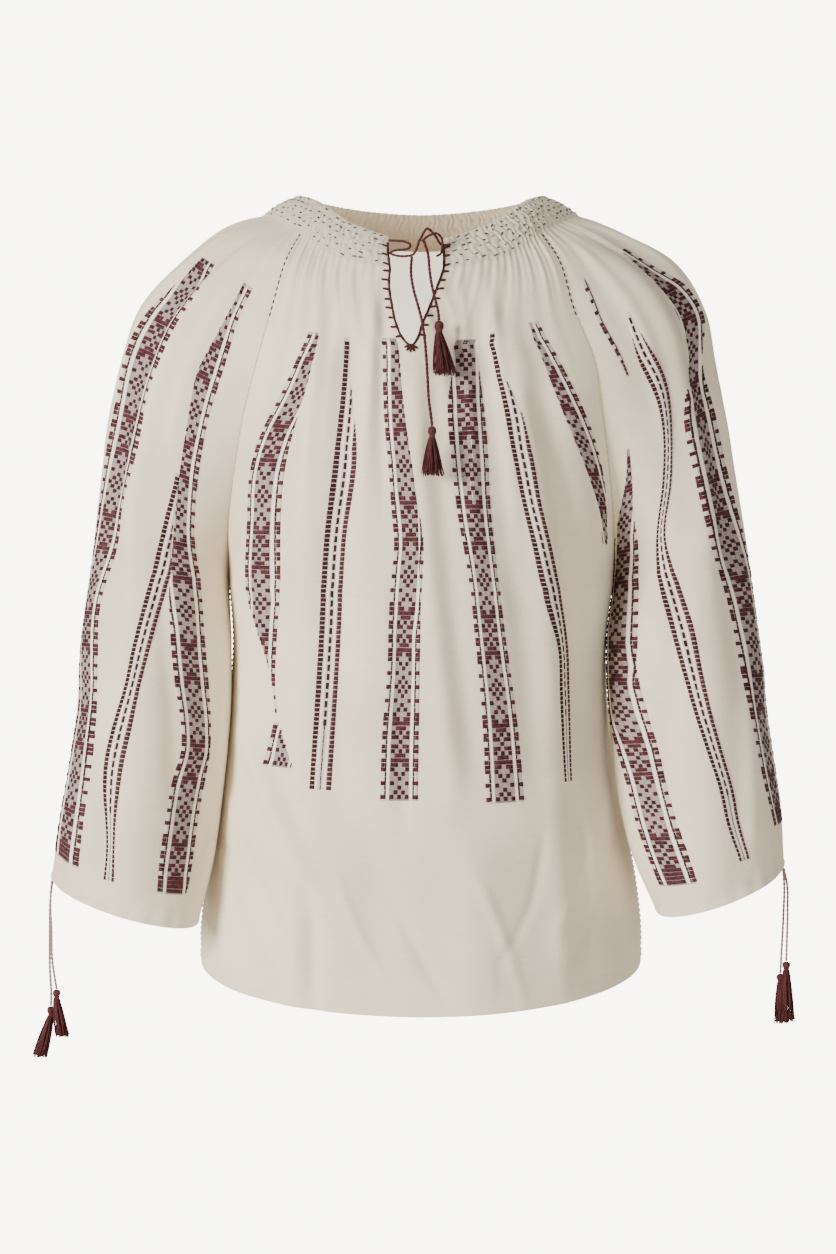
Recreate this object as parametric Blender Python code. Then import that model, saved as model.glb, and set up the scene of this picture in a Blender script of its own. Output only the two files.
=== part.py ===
import math

import bmesh
import bpy
import numpy as np
from mathutils import Vector

for item in list(bpy.data.objects):
    bpy.data.objects.remove(item, do_unlink=True)

# A raglan-sleeved folk blouse, filled out as if worn and open inside.
# Origin: centre of the neck opening, level with the sides of the neck.
# The front faces -Y and +Z is up. Tables are in millimetres, meshes in metres.
MILLIMETRE = 0.001

WALL = 1.4
SEAM_GAP = 0.34
HEM_DROP = 642.5
COLLAR_BULGE = 2.6
SMOCK_HEIGHT = 1.3
PLEAT_HEIGHT = 1.5
PLEAT_FADE = 0.2
COLLAR_FADE = 0.3

NECK_CORD = 2.4
CUFF_CORD = 2.0
CORD_END_GAP = 0.35

# Mesh columns of each panel along its top edge, and rows down the panels.
HALF_FRONT_COLUMNS = 18
SLEEVE_COLUMNS = 22
BACK_COLUMNS = 26
COLLAR_ROWS = (0.0, 0.25, 0.5, 0.75, 1.0)
YOKE_ROWS = (0.0, 0.07, 0.14, 0.21, 0.285, 0.38, 0.48, 0.59, 0.7, 0.8, 0.9, 1.0)
LOWER_ROWS = (1.1, 1.22, 1.34, 1.47, 1.6, 1.74, 1.88, 2.0)
ROWS = YOKE_ROWS + LOWER_ROWS
ARMPIT_ROW = len(YOKE_ROWS) - 1
SLIT_ROW = YOKE_ROWS.index(0.285)

# Angles round the neck, from the front centre by the viewer's left to the back.
# The slit's two ends are given at the band's upper and lower edge.
SLIT_LEFT = (14.5, 10.3)
SLIT_RIGHT = (350.5, 352.4)
RAGLAN_FRONT_LEFT = 57.0
RAGLAN_BACK_LEFT = 123.0
RAGLAN_BACK_RIGHT = 237.0
RAGLAN_FRONT_RIGHT = 303.0

# The smocked band: angle from the front centre, its upper edge and its lower edge.
NECK_RING = (
    # angle, upper x, y, z, lower x, y, z
    (0, 0, -85, -41, 0, -107, -65),
    (30, 50, -74, -28, 66, -92, -54),
    (60, 80, -42, -6, 97, -62, -30),
    (90, 96, -2, 3, 126, -6, -14),
    (120, 84, 38, 2, 106, 56, -20),
    (150, 47, 56, -3, 60, 76, -29),
    (180, 0, 60, -6, 0, 80, -34),
)

# Sleeve sections: 0 at the collar, 1 at the armpit, 2 at the cuff. The crest is the
# outermost point, width runs from it to the raglan chord or the tube's inner side,
# wrap is how far the section closes round the arm (90 is a whole tube).
LEFT_SLEEVE = (
    # row, crest x, crest z, tilt, width, centre y, half depth, wrap
    (0.00, 126, -14, 27, 36, -3, 69, -25),
    (0.12, 160, -26, 30, 62, -5, 87, -24),
    (0.23, 190, -48, 31, 86, -5, 90, -20),
    (0.37, 225, -84, 28, 109, -3, 86, -10),
    (0.50, 240, -122, 26, 113, -1, 78, 4),
    (0.65, 252, -175, 21, 113, 0, 69, 24),
    (0.82, 259, -233, 16, 111, -2, 61, 50),
    (1.00, 265, -292, 7, 113, -7, 56, 90),
    (1.17, 270, -345, 4, 119.8, -20, 53, 90),
    (1.36, 273, -396, 5, 122.8, -30, 51, 90),
    (1.57, 280, -452, 7, 125, -38, 49, 90),
    (1.80, 288, -505, 9, 126, -45, 46, 90),
    (2.00, 291, -539, 17, 120, -48, 41, 90),
)
RIGHT_SLEEVE = (
    # row, crest x, crest z, tilt, width, centre y, half depth, wrap
    (0.00, 126, -12, 27, 38, -3, 69, -25),
    (0.12, 162, -26, 29, 62, -5, 87, -24),
    (0.23, 201, -47, 29, 94, -5, 90, -20),
    (0.37, 228, -87, 27, 104, -3, 86, -10),
    (0.50, 237, -127, 25, 105, -1, 78, 4),
    (0.65, 247, -180, 21, 106, 0, 69, 24),
    (0.82, 256, -234, 16, 108, -2, 61, 50),
    (1.00, 264, -290, 8, 112, -7, 56, 90),
    (1.17, 269, -345, 2, 121.4, -20, 53, 90),
    (1.36, 274, -396, 3, 126, -30, 51, 90),
    (1.57, 281, -450, 6, 127.8, -38, 49, 90),
    (1.80, 286, -498, 10, 122, -45, 46, 90),
    (2.00, 286, -529, 20, 106, -48, 41, 90),
)

# Body sections down to the armpit: the centre line of the front and of the back.
YOKE_BODY = (
    # row, front y, front z, front seam angle, back y, back z, back seam angle
    (0.00, -107, -65, 62, 80, -34, 62),
    (0.12, -112, -90, 60, 90, -62, 62),
    (0.23, -115.5, -113, 58, 96, -92, 62),
    (0.37, -119, -148, 60, 101, -132, 64),
    (0.50, -122, -182, 64, 104, -170, 68),
    (0.65, -124, -222, 70, 105, -216, 74),
    (0.82, -125, -268, 80, 103, -264, 82),
    (1.00, -124.5, -315, 90, 101, -312, 90),
)
# Body sections below the armpit, with the side seams.
LOWER_BODY = (
    # row, left x, right x, side y, side z, front y, front z, back y, back z
    (1.00, -152.8, 153.0, -7, -305.5, -124.5, -315, 101, -312),
    (1.15, -150, 148, -4, -352, -122, -362, 98, -360),
    (1.30, -153, 149, -2, -400, -118.5, -412, 96, -408),
    (1.46, -159, 155, 0, -450, -115, -464, 98, -460),
    (1.62, -166, 164, 0, -500, -114, -518, 102, -512),
    (1.80, -173, 173, 0, -552, -115, -577, 107, -566),
    (1.93, -176, 176, 0, -588, -117, -620, 111, -610),
    (2.00, -175, 175, 0, -606, -117, -HEM_DROP, 112, -632),
)

# Neck slit: edges of the opening by row, then the front's centre line.
SLIT_EDGES = (
    # row, left x, right x
    (0.00, -23.5, 13.5),
    (0.07, -24.3, 8.7),
    (0.14, -22.2, 4.5),
    (0.21, -19.0, -0.3),
    (0.26, -13.5, -3.5),
    (0.285, -7.5, -7.5),
    (0.60, -4.0, -4.0),
    (1.20, 0.0, 0.0),
    (2.00, 0.0, 0.0),
)

# The largest folds of the body, seen from the front: troughs are negative.
FRONT_FOLDS = (
    # height, half width, top x, top z, middle x, middle z, bottom x, bottom z
    (5.0, 11, -6, -135, 4, -270, 24, -470),
    (-3.5, 10, 10, -150, 20, -290, 40, -450),
    (-4.5, 13, -54, -110, -62, -250, -66, -470),
    (4.0, 12, -76, -110, -88, -250, -92, -430),
    (-4.5, 12, -98, -150, -112, -260, -120, -400),
    (-4.0, 14, 44, -110, 66, -250, 80, -450),
    (4.0, 12, 66, -110, 92, -240, 104, -430),
    (-4.5, 12, 88, -150, 112, -260, 124, -420),
    (4.5, 16, -140, -420, -112, -490, -84, -545),
    (-3.5, 13, -88, -545, -84, -590, -84, -640),
    (-3.5, 14, 118, -470, 126, -520, 132, -610),
    (3.5, 22, 40, -500, 44, -560, 46, -640),
)
BACK_FOLDS = (
    # height, half width, top x, top z, middle x, middle z, bottom x, bottom z
    (4.5, 12, -18, -80, -24, -260, -34, -500),
    (-4.5, 13, 4, -80, 4, -270, 2, -500),
    (4.5, 12, 26, -80, 34, -260, 44, -500),
    (-4.5, 14, -48, -90, -62, -260, -74, -470),
    (-4.5, 14, 54, -90, 70, -260, 84, -470),
    (4.0, 14, -76, -110, -98, -270, -112, -470),
    (4.0, 14, 82, -110, 104, -270, 118, -470),
    (-3.5, 18, -40, -480, -38, -560, -36, -630),
    (-3.5, 18, 70, -480, 76, -560, 80, -630),
)
# Folds along the sleeves: place is the share of the way round, front to back.
SLEEVE_FOLDS = (
    # height, half width, top place, top row, bottom place, bottom row
    (4.5, 0.045, 0.16, 0.10, 0.30, 0.95),
    (-4.0, 0.040, 0.26, 0.12, 0.38, 1.30),
    (-4.0, 0.045, 0.44, 0.08, 0.52, 1.10),
    (4.0, 0.040, 0.60, 0.10, 0.62, 1.20),
    (-4.0, 0.045, 0.74, 0.12, 0.68, 1.10),
    (4.0, 0.040, 0.86, 0.10, 0.76, 1.00),
    (-4.5, 0.060, 0.16, 1.10, 0.12, 1.75),
    (4.0, 0.050, 0.30, 1.20, 0.24, 1.90),
    (-4.0, 0.060, 0.84, 1.10, 0.90, 1.80),
    (-3.0, 0.050, 0.46, 1.30, 0.44, 1.95),
)
CUFF_DIP = 11.0

# Neck tie: the lace through the band's ends, its loop and its two hanging ends.
NECK_LACE = (
    (23.0, -92.9, -44.4), (16.5, -94.4, -45.0), (11.0, -99.0, -38.5), (5.0, -102.0, -33.0),
    (-0.5, -102.5, -41.0), (-7.0, -102.5, -53.5), (-13.0, -101.0, -54.3), (-19.5, -99.5, -53.6),
    (-24.0, -97.2, -51.4), (-19.5, -97.6, -49.4), (-13.5, -98.6, -49.0), (-9.0, -98.4, -47.6),
    (-8.4, -97.2, -45.0), (-12.5, -95.6, -42.6), (-18.0, -91.0, -41.4), (-24.8, -86.0, -40.7),
)
NECK_LOOP = (
    (0.5, -104.4, -43.0), (6.5, -105.2, -38.5), (12.5, -103.2, -37.0), (16.2, -101.0, -41.0),
    (16.4, -100.2, -47.0), (15.2, -102.0, -52.5), (12.0, -103.8, -54.6),
)
LONG_END = (
    (-7.2, -103.0, -55.2), (-7.8, -110.2, -67.5), (-6.0, -115.8, -80.5), (-2.4, -119.8, -94.0),
    (0.4, -122.6, -105.0), (2.2, -125.0, -116.0), (3.6, -128.2, -129.5), (4.8, -132.0, -148.0),
    (6.0, -134.0, -168.0), (7.6, -135.4, -180.5), (8.4, -135.8, -187.5),
)
SHORT_END = (
    (2.35, -105.15, -43.4), (5.4, -111.0, -54.0), (6.6, -115.6, -67.0), (8.6, -119.4, -80.0),
    (10.6, -121.8, -88.5), (13.0, -124.8, -98.5), (13.8, -125.6, -106.0),
)
CUFF_CORDS = {
    "cuff_cord_left_a": (
        (-290.4, -53.3, -541.3), (-291.6, -53.0, -557.0), (-290.8, -52.4, -580.0),
        (-290.2, -52.0, -604.0), (-288.4, -52.0, -617.0), (-286.8, -52.0, -626.5),
    ),
    "cuff_cord_left_b": (
        (-290.4, -43.0, -538.5), (-292.2, -43.4, -553.0), (-293.0, -43.8, -585.0),
        (-292.8, -44.0, -612.0), (-291.8, -44.2, -630.0), (-292.0, -44.4, -640.5),
    ),
    "cuff_cord_right_a": (
        (285.4, -53.3, -531.3), (287.8, -53.0, -543.0), (288.4, -52.6, -565.0),
        (287.8, -52.4, -590.0), (287.4, -52.4, -604.5),
    ),
    "cuff_cord_right_b": (
        (285.4, -43.0, -528.6), (286.6, -42.4, -543.0), (286.2, -40.6, -570.0),
        (285.0, -37.6, -598.0), (284.2, -36.6, -615.5),
    ),
}

# Tassels hang under their cords: head, then skirt, leaning sideways and in depth.
TASSELS = (
    # name, its cord, head width, head height, skirt width, skirt depth, skirt length, lean x, lean y
    ("neck_tassel_long", "neck_tie_long_end", 6.4, 10.5, 20, 12.5, 28, 0.5, -0.5),
    ("neck_tassel_short", "neck_tie_short_end", 7.2, 11.5, 21, 12.5, 31, 4.5, -1.0),
    ("cuff_tassel_left_a", "cuff_cord_left_a", 6.0, 8.5, 12.5, 11, 29, 4.5, -1.0),
    ("cuff_tassel_left_b", "cuff_cord_left_b", 6.0, 8.5, 13, 11, 32, -8.5, 0.5),
    ("cuff_tassel_right_a", "cuff_cord_right_a", 6.2, 8.0, 14, 11, 40, 0.5, -1.5),
    ("cuff_tassel_right_b", "cuff_cord_right_b", 6.2, 8.0, 13, 11, 32, 1.0, 2.5),
)
HEAD_SIDES = 12
STRAND_FILL = 0.7

CREAM = (0.74, 0.71, 0.64)
BURGUNDY = (0.12, 0.02, 0.025)
TASSEL_BROWN = (0.08, 0.02, 0.02)
MAUVE_BROWN = (0.27, 0.17, 0.15)


def material(name, colour, roughness):
    made = bpy.data.materials.new(name)
    made.use_nodes = True
    shader = made.node_tree.nodes["Principled BSDF"]
    shader.inputs["Base Color"].default_value = (*colour, 1.0)
    shader.inputs["Roughness"].default_value = roughness
    shader.inputs["Metallic"].default_value = 0.0
    made.diffuse_color = (*colour, 1.0)
    return made


def smooth(knots, values, at):
    """A smooth curve through the values at the knots, read at one place or many."""
    knots = np.asarray(knots, float)
    values = np.asarray(values, float)
    slopes = np.gradient(values, knots, axis=0)
    at = np.clip(np.asarray(at, float), knots[0], knots[-1])
    cell = np.clip(np.searchsorted(knots, at, side="right") - 1, 0, len(knots) - 2)
    width = knots[cell + 1] - knots[cell]
    s = (at - knots[cell]) / width
    if values.ndim == 2 and s.ndim:
        s = s[..., None]
        width = width[..., None]
    return (
        (2 * s**3 - 3 * s**2 + 1) * values[cell]
        + (s**3 - 2 * s**2 + s) * width * slopes[cell]
        + (3 * s**2 - 2 * s**3) * values[cell + 1]
        + (s**3 - s**2) * width * slopes[cell + 1]
    )


def read_table(table, at):
    table = np.asarray(table, float)
    return smooth(table[:, 0], table[:, 1:], at)


def ease(share):
    share = np.clip(share, 0.0, 1.0)
    return share * share * (3 - 2 * share)


def unit(vectors):
    return vectors / np.maximum(np.linalg.norm(vectors, axis=-1, keepdims=True), 1e-9)


def whole_ring():
    """The neck ring's table carried on past both ends of a turn."""
    half = [np.array(row, float) for row in NECK_RING]
    turn = []
    for row in half:
        left = row.copy()
        left[[1, 4]] *= -1
        turn.append(left)
    for row in reversed(half[1:-1]):
        right = row.copy()
        right[0] = 360 - row[0]
        turn.append(right)
    rows = []
    for lap in (-360, 0, 360):
        for row in turn:
            moved = row.copy()
            moved[0] += lap
            rows.append(moved)
    return np.array(rows)


RING = whole_ring()


def neck_point(angle, share):
    """A point of the smocked band: share 0 is its upper edge, 1 its lower edge."""
    edges = smooth(RING[:, 0], RING[:, 1:], angle)
    upper, lower = edges[..., :3], edges[..., 3:]
    share = np.asarray(share, float)[..., None]
    outward = unit(lower * (1, 1, 0))
    bulge = COLLAR_BULGE * np.sin(math.pi * share)
    return upper + (lower - upper) * share + outward * bulge * (0.6, 0.6, 0) + (0, 0, 0.6) * bulge


def top_edge_shift(points, top, angles, row):
    """Draws the rows near the collar onto its lower edge."""
    fade = 1 - ease(row / COLLAR_FADE)
    return points + (neck_point(angles, np.ones_like(angles)) - top) * fade


def sleeve_row(side, row, around):
    table = LEFT_SLEEVE if side < 0 else RIGHT_SLEEVE
    crest_x, crest_z, tilt, width, centre_y, half_depth, wrap = read_table(table, row)
    tilt, wrap = math.radians(tilt), math.radians(90 if row >= 1 else min(wrap, 90))
    reach = width / (1 + math.sin(wrap))
    outward = np.array((side * math.cos(tilt), 0, math.sin(tilt)))
    centre = np.array((side * crest_x, centre_y, crest_z)) - outward * reach
    angle = -wrap + np.asarray(around, float) * (math.pi + 2 * wrap)
    points = centre + outward * (reach * np.sin(angle))[..., None]
    points[..., 1] -= half_depth * np.cos(angle)
    return points


def sleeve_ends(side):
    if side < 0:
        return RAGLAN_FRONT_LEFT, RAGLAN_BACK_LEFT
    return RAGLAN_FRONT_RIGHT, RAGLAN_BACK_RIGHT


def sleeve_folds(row, around):
    lift = np.zeros_like(around)
    for height, half_width, top, top_row, bottom, bottom_row in SLEEVE_FOLDS:
        share = (row - top_row) / (bottom_row - top_row)
        middle = top + (bottom - top) * share
        strength = ease(share / 0.25 + 0.2) * ease((1.2 - share) / 0.3)
        lift += height * strength * np.exp(-(((around - middle) / half_width) ** 2))
    return lift * ease(around / 0.1) * ease((1 - around) / 0.1)


def sleeve_point(side, row, around):
    around = np.asarray(around, float)
    front, back = sleeve_ends(side)
    angles = front + (back - front) * around
    points = sleeve_row(side, row, around)
    points = top_edge_shift(points, sleeve_row(side, 0.0, around), angles, row)
    hang = ease((row - 1.5) / 0.5) * CUFF_DIP
    points[..., 2] -= hang * np.clip(np.sin(2 * math.pi * around), -0.5, 1)
    return points


def raglan_point(side, row, behind):
    return sleeve_row(side, row, np.array([1.0 if behind else 0.0]))[0]


def body_row(row, behind, across):
    """Across runs from -1 at the viewer's left to 1 at the right, both seams."""
    across = np.asarray(across, float)
    if row <= 1:
        front_y, front_z, front_angle, back_y, back_z, back_angle = read_table(YOKE_BODY, row)
        left, right = raglan_point(-1, row, behind), raglan_point(1, row, behind)
    else:
        left_x, right_x, side_y, side_z, front_y, front_z, back_y, back_z = read_table(LOWER_BODY, row)
        front_angle = back_angle = 90
        left = np.array((left_x, side_y, side_z))
        right = np.array((right_x, side_y, side_z))
        blend = 1 - ease((row - 1) / 0.15)
        left += (raglan_point(-1, 1.0, behind) - (LOWER_BODY[0][1], *LOWER_BODY[0][3:5])) * blend
        right += (raglan_point(1, 1.0, behind) - LOWER_BODY[0][2:5]) * blend
    middle_y, middle_z = (back_y, back_z) if behind else (front_y, front_z)
    reach = math.radians(back_angle if behind else front_angle)
    turn = across * reach
    outwards = np.sin(turn) / math.sin(reach)
    backwards = (1 - np.cos(turn)) / (1 - math.cos(reach))
    ends = np.where(across[..., None] < 0, left, right)
    points = np.empty(across.shape + (3,))
    points[..., 0] = np.abs(outwards) * ends[..., 0]
    points[..., 1] = middle_y + (ends[..., 1] - middle_y) * backwards
    points[..., 2] = middle_z + (ends[..., 2] - middle_z) * backwards
    return points


def body_folds(points, folds, row):
    lift = np.zeros(points.shape[:-1])
    x, z = points[..., 0], points[..., 2]
    for height, half_width, top_x, top_z, middle_x, middle_z, bottom_x, bottom_z in folds:
        line = smooth((bottom_z, middle_z, top_z), (bottom_x, middle_x, top_x), z)
        strength = ease((top_z + 15 - z) / 45) * ease((z - bottom_z + 45) / 90)
        lift += height * strength * np.exp(-(((x - line) / half_width) ** 2))
    return lift


def across_of(row, x):
    """The across value of a place x on the front's row, near the centre."""
    if row <= 1:
        reach = math.radians(read_table(YOKE_BODY, row)[2])
        end = raglan_point(-1 if x < 0 else 1, row, False)[0]
    else:
        reach = math.radians(90)
        end = read_table(LOWER_BODY, row)[0 if x < 0 else 1]
    return math.asin(abs(x / end) * math.sin(reach)) / reach * (-1 if x < 0 else 1)


def half_front_point(side, row, share):
    """Share runs from the seam at 0 to the slit's edge or the centre line at 1."""
    share = np.asarray(share, float)
    edge = read_table(SLIT_EDGES, row)[0 if side < 0 else 1]
    if row >= YOKE_ROWS[SLIT_ROW]:
        edge = read_table(SLIT_EDGES, row)[0]
    across = side + (across_of(row, edge) - side) * share
    seam, slit = (RAGLAN_FRONT_LEFT, SLIT_LEFT[1]) if side < 0 else (RAGLAN_FRONT_RIGHT, SLIT_RIGHT[1])
    angles = seam + (slit - seam) * share
    edge_above = read_table(SLIT_EDGES, 0.0)[0 if side < 0 else 1]
    across_above = side + (across_of(0.0, edge_above) - side) * share
    top = body_row(0.0, False, across_above)
    return top_edge_shift(body_row(row, False, across), top, angles, row)


def back_point(row, share):
    across = 2 * np.asarray(share, float) - 1
    angles = RAGLAN_BACK_LEFT + (RAGLAN_BACK_RIGHT - RAGLAN_BACK_LEFT) * np.asarray(share, float)
    return top_edge_shift(body_row(row, True, across), body_row(0.0, True, across), angles, row)


def grid(rows, shares, place):
    return np.array([place(row, shares) for row in rows])


def grid_normals(points, sign):
    down = np.gradient(points, axis=0)
    along = np.gradient(points, axis=1)
    return unit(np.cross(down, along) * sign)


def fold_grid(points, normals, lift):
    return points + normals * lift[..., None]


def seam_window(count, both_ends=True):
    """Keeps folds off the seams, so that neighbouring edges stay together."""
    share = np.linspace(0, 1, count)
    window = ease(share / 0.12)
    if both_ends:
        window = window * ease((1 - share) / 0.12)
    return window


def make_panels():
    """Grids of each panel's own surface, rows from the collar down."""
    halves = {}
    for side in (-1, 1):
        shares = np.linspace(0, 1, HALF_FRONT_COLUMNS + 1)
        points = grid(ROWS, shares, lambda row, share, side=side: half_front_point(side, row, share))
        normals = grid_normals(points, -side)
        lift = body_folds(points, FRONT_FOLDS, ROWS) * ease(shares / 0.12)
        halves[side] = fold_grid(points, normals, lift)
    for row in range(SLIT_ROW, len(ROWS)):
        middle = (halves[-1][row, -1] + halves[1][row, -1]) / 2
        halves[-1][row, -1] = middle
        halves[1][row, -1] = middle
    back = grid(ROWS, np.linspace(0, 1, BACK_COLUMNS + 1), back_point)
    lift = body_folds(back, BACK_FOLDS, ROWS) * seam_window(BACK_COLUMNS + 1)
    back = fold_grid(back, grid_normals(back, -1), lift)
    sleeves = {}
    for side in (-1, 1):
        around = np.linspace(0, 1, SLEEVE_COLUMNS + 1)
        points = grid(ROWS, around, lambda row, share, side=side: sleeve_point(side, row, share))
        lift = np.array([sleeve_folds(row, around) for row in ROWS])
        sleeves[side] = fold_grid(points, grid_normals(points, side), lift)
    return halves, back, sleeves


def collar_angles(share):
    """Angles of the band's columns at a share of its width, and where each panel starts."""
    first = SLIT_LEFT[0] + (SLIT_LEFT[1] - SLIT_LEFT[0]) * share
    last = SLIT_RIGHT[0] + (SLIT_RIGHT[1] - SLIT_RIGHT[0]) * share
    spans = (
        (first, RAGLAN_FRONT_LEFT, HALF_FRONT_COLUMNS),
        (RAGLAN_FRONT_LEFT, RAGLAN_BACK_LEFT, SLEEVE_COLUMNS),
        (RAGLAN_BACK_LEFT, RAGLAN_BACK_RIGHT, BACK_COLUMNS),
        (RAGLAN_BACK_RIGHT, RAGLAN_FRONT_RIGHT, SLEEVE_COLUMNS),
        (RAGLAN_FRONT_RIGHT, last, HALF_FRONT_COLUMNS),
    )
    angles = [first]
    starts = [0]
    for start, end, count in spans:
        angles.extend(np.linspace(start, end, count + 1)[1:])
        starts.append(len(angles) - 1)
    return np.array(angles), starts


class Panel:
    """A panel's grid of outer and inner points, and the shifts that open its seams."""

    def __init__(self, points, normals, sign):
        self.points = points
        self.normals = normals
        self.sign = sign
        self.relief = np.zeros(points.shape[:2])
        self.shift = np.zeros_like(points)

    def layers(self):
        outer = self.points + self.normals * self.relief[..., None] + self.shift
        inner = self.points - self.normals * WALL + self.shift
        return outer, inner


def edge_cells(panel, edge):
    """Index of a panel's edge and of the line of points next to it."""
    return {
        "start": ((slice(None), 0), (slice(None), 1)),
        "end": ((slice(None), -1), (slice(None), -2)),
        "top": ((0, slice(None)), (1, slice(None))),
        "bottom": ((-1, slice(None)), (-2, slice(None))),
    }[edge]


def join(first, first_edge, second, second_edge, part=slice(None), other=slice(None)):
    """Gives two edges that lie together one set of normals and opens a thin gap."""
    a, a_next = edge_cells(first, first_edge)
    b, b_next = edge_cells(second, second_edge)
    shared = unit(first.normals[a][part] + second.normals[b][other])
    line = first.points[a][part]
    square = unit(np.cross(np.gradient(line, axis=0), shared))
    for panel, cell, beside, where in ((first, a, a_next, part), (second, b, b_next, other)):
        panel.normals[cell][where] = shared
        inward = panel.points[beside][where] - panel.points[cell][where]
        side = np.sign(np.sum(inward * square, axis=1, keepdims=True))
        panel.shift[cell][where] += square * side * SEAM_GAP / 2


def thick_skin(name, patches, surface):
    """A closed wall from grids of (key, outer, inner); equal keys are one point."""
    mesh = bpy.data.meshes.new(name)
    build = bmesh.new()
    outside, inside, used = {}, {}, {}
    corners = []
    for keys, outer, inner, sign in patches:
        rows, columns = len(keys), len(keys[0])
        for i in range(rows):
            for j in range(columns):
                key = keys[i][j]
                if key not in outside:
                    outside[key] = build.verts.new(Vector(outer[i, j]) * MILLIMETRE)
                    inside[key] = build.verts.new(Vector(inner[i, j]) * MILLIMETRE)
        for i in range(rows - 1):
            for j in range(columns - 1):
                a, b = keys[i][j], keys[i + 1][j]
                c, d = keys[i + 1][j + 1], keys[i][j + 1]
                for corner in ((a, b, c), (a, c, d)):
                    if len(set(corner)) == 3:
                        corners.append(corner if sign > 0 else corner[::-1])
    for corner in corners:
        build.faces.new([outside[key] for key in corner])
        build.faces.new([inside[key] for key in reversed(corner)])
        for k in range(3):
            edge = (corner[k], corner[(k + 1) % 3])
            used[edge] = used.get(edge, 0) + 1
    for first, second in used:
        if (second, first) not in used:
            build.faces.new((outside[second], outside[first], inside[first]))
            build.faces.new((outside[second], inside[first], inside[second]))
    bmesh.ops.recalc_face_normals(build, faces=build.faces)
    build.to_mesh(mesh)
    build.free()
    mesh.shade_smooth()
    mesh.set_sharp_from_angle(angle=math.radians(50))
    mesh.materials.append(surface)
    made = bpy.data.objects.new(name, mesh)
    bpy.context.collection.objects.link(made)
    return made


def numbered(rows, columns, mark):
    return [[mark(i, j) for j in range(columns)] for i in range(rows)]


def make_garment(cloth):
    halves, back, sleeves = make_panels()
    angles, starts = collar_angles(1.0)
    levels = [(collar_angles(share)[0], share) for share in COLLAR_ROWS]
    collar_points = np.array([neck_point(turns, np.full(len(turns), share)) for turns, share in levels])

    front = {side: Panel(halves[side], grid_normals(halves[side], -side), -side) for side in (-1, 1)}
    behind = Panel(back, grid_normals(back, -1), -1)
    sleeve = {side: Panel(sleeves[side], grid_normals(sleeves[side], side), side) for side in (-1, 1)}
    collar = Panel(collar_points, grid_normals(collar_points, -1), -1)

    # The lower rows of a sleeve are one tube, so its two edges share their normals.
    for side in (-1, 1):
        tube = sleeve[side].normals[ARMPIT_ROW + 1:]
        tube[:, 0] = tube[:, -1] = unit(tube[:, 0] + tube[:, -1])
    for row in range(SLIT_ROW, len(ROWS)):
        shared = unit(front[-1].normals[row, -1] + front[1].normals[row, -1])
        front[-1].normals[row, -1] = front[1].normals[row, -1] = shared

    raglan = slice(0, ARMPIT_ROW)
    lower = slice(ARMPIT_ROW + 1, None)
    for side in (-1, 1):
        join(front[side], "start", sleeve[side], "start", raglan, raglan)
        join(behind, "start" if side < 0 else "end", sleeve[side], "end", raglan, raglan)
        join(front[side], "start", behind, "start" if side < 0 else "end", lower, lower)

    # Along the collar every panel's top edge meets the band's lower edge.
    turned = slice(None, None, -1)
    whole = slice(None)
    meetings = (
        (front[-1], slice(starts[0], starts[1] + 1), turned),
        (sleeve[-1], slice(starts[1], starts[2] + 1), whole),
        (behind, slice(starts[2], starts[3] + 1), whole),
        (sleeve[1], slice(starts[3], starts[4] + 1), turned),
        (front[1], slice(starts[4], starts[5] + 1), whole),
    )
    for panel, span, order in meetings:
        share_top(collar, panel, span, order)

    # At the armpit the four walls meet in a crease that opens downwards.
    for side in (-1, 1):
        corner = ARMPIT_ROW
        for panel, column in ((front[side], 0), (behind, 0 if side < 0 else -1)):
            panel.normals[corner, column] = (side * 0.5, 0, -0.87)
        for column in (0, -1):
            sleeve[side].normals[corner, column] = (-side * 0.5, 0, -0.87)
        half = SEAM_GAP / 2
        front[side].shift[corner, 0] = (-side * half, -half * 1.4, 0)
        behind.shift[corner, 0 if side < 0 else -1] = (-side * half, half * 1.4, 0)
        sleeve[side].shift[corner, 0] = sleeve[side].shift[corner, -1] = (side * half * 1.6, 0, -half)

    # Gathers under the smocking: every second column stands out.
    for panel in (front[-1], front[1], behind, sleeve[-1], sleeve[1]):
        columns = panel.points.shape[1]
        for i, row in enumerate(ROWS):
            strength = 1 - ease(row / PLEAT_FADE)
            panel.relief[i] = PLEAT_HEIGHT * strength * (np.arange(columns) % 2)
        panel.relief[:, 0] = panel.relief[:, -1] = 0
    for i in range(1, len(COLLAR_ROWS) - 1):
        collar.relief[i] = SMOCK_HEIGHT * ((np.arange(len(angles)) + i) % 2)
    for panel, span, order in meetings:
        collar.relief[-1, span] = panel.relief[0][order]

    rows = len(ROWS)
    patches = []
    for side in (-1, 1):
        outer, inner = front[side].layers()

        def mark(i, j, side=side):
            if j == HALF_FRONT_COLUMNS and i >= SLIT_ROW:
                return (i, "centre")
            return (i, j * side + 0.5 * side)

        patches.append((numbered(rows, HALF_FRONT_COLUMNS + 1, mark), outer, inner, side))
    thick_skin("front_panel", patches, cloth)

    outer, inner = behind.layers()
    keys = numbered(rows, BACK_COLUMNS + 1, lambda i, j: (i, j))
    thick_skin("back_panel", [(keys, outer, inner, 1)], cloth)

    for side, name in ((-1, "sleeve_left"), (1, "sleeve_right")):
        outer, inner = sleeve[side].layers()
        keys = numbered(rows, SLEEVE_COLUMNS + 1, lambda i, j: (i, j % SLEEVE_COLUMNS if i >= ARMPIT_ROW else j))
        thick_skin(name, [(keys, outer, inner, 1)], cloth)

    outer, inner = collar.layers()
    keys = numbered(len(COLLAR_ROWS), len(angles), lambda i, j: (i, j))
    thick_skin("smocked_collar", [(keys, outer, inner, 1)], cloth)


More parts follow.
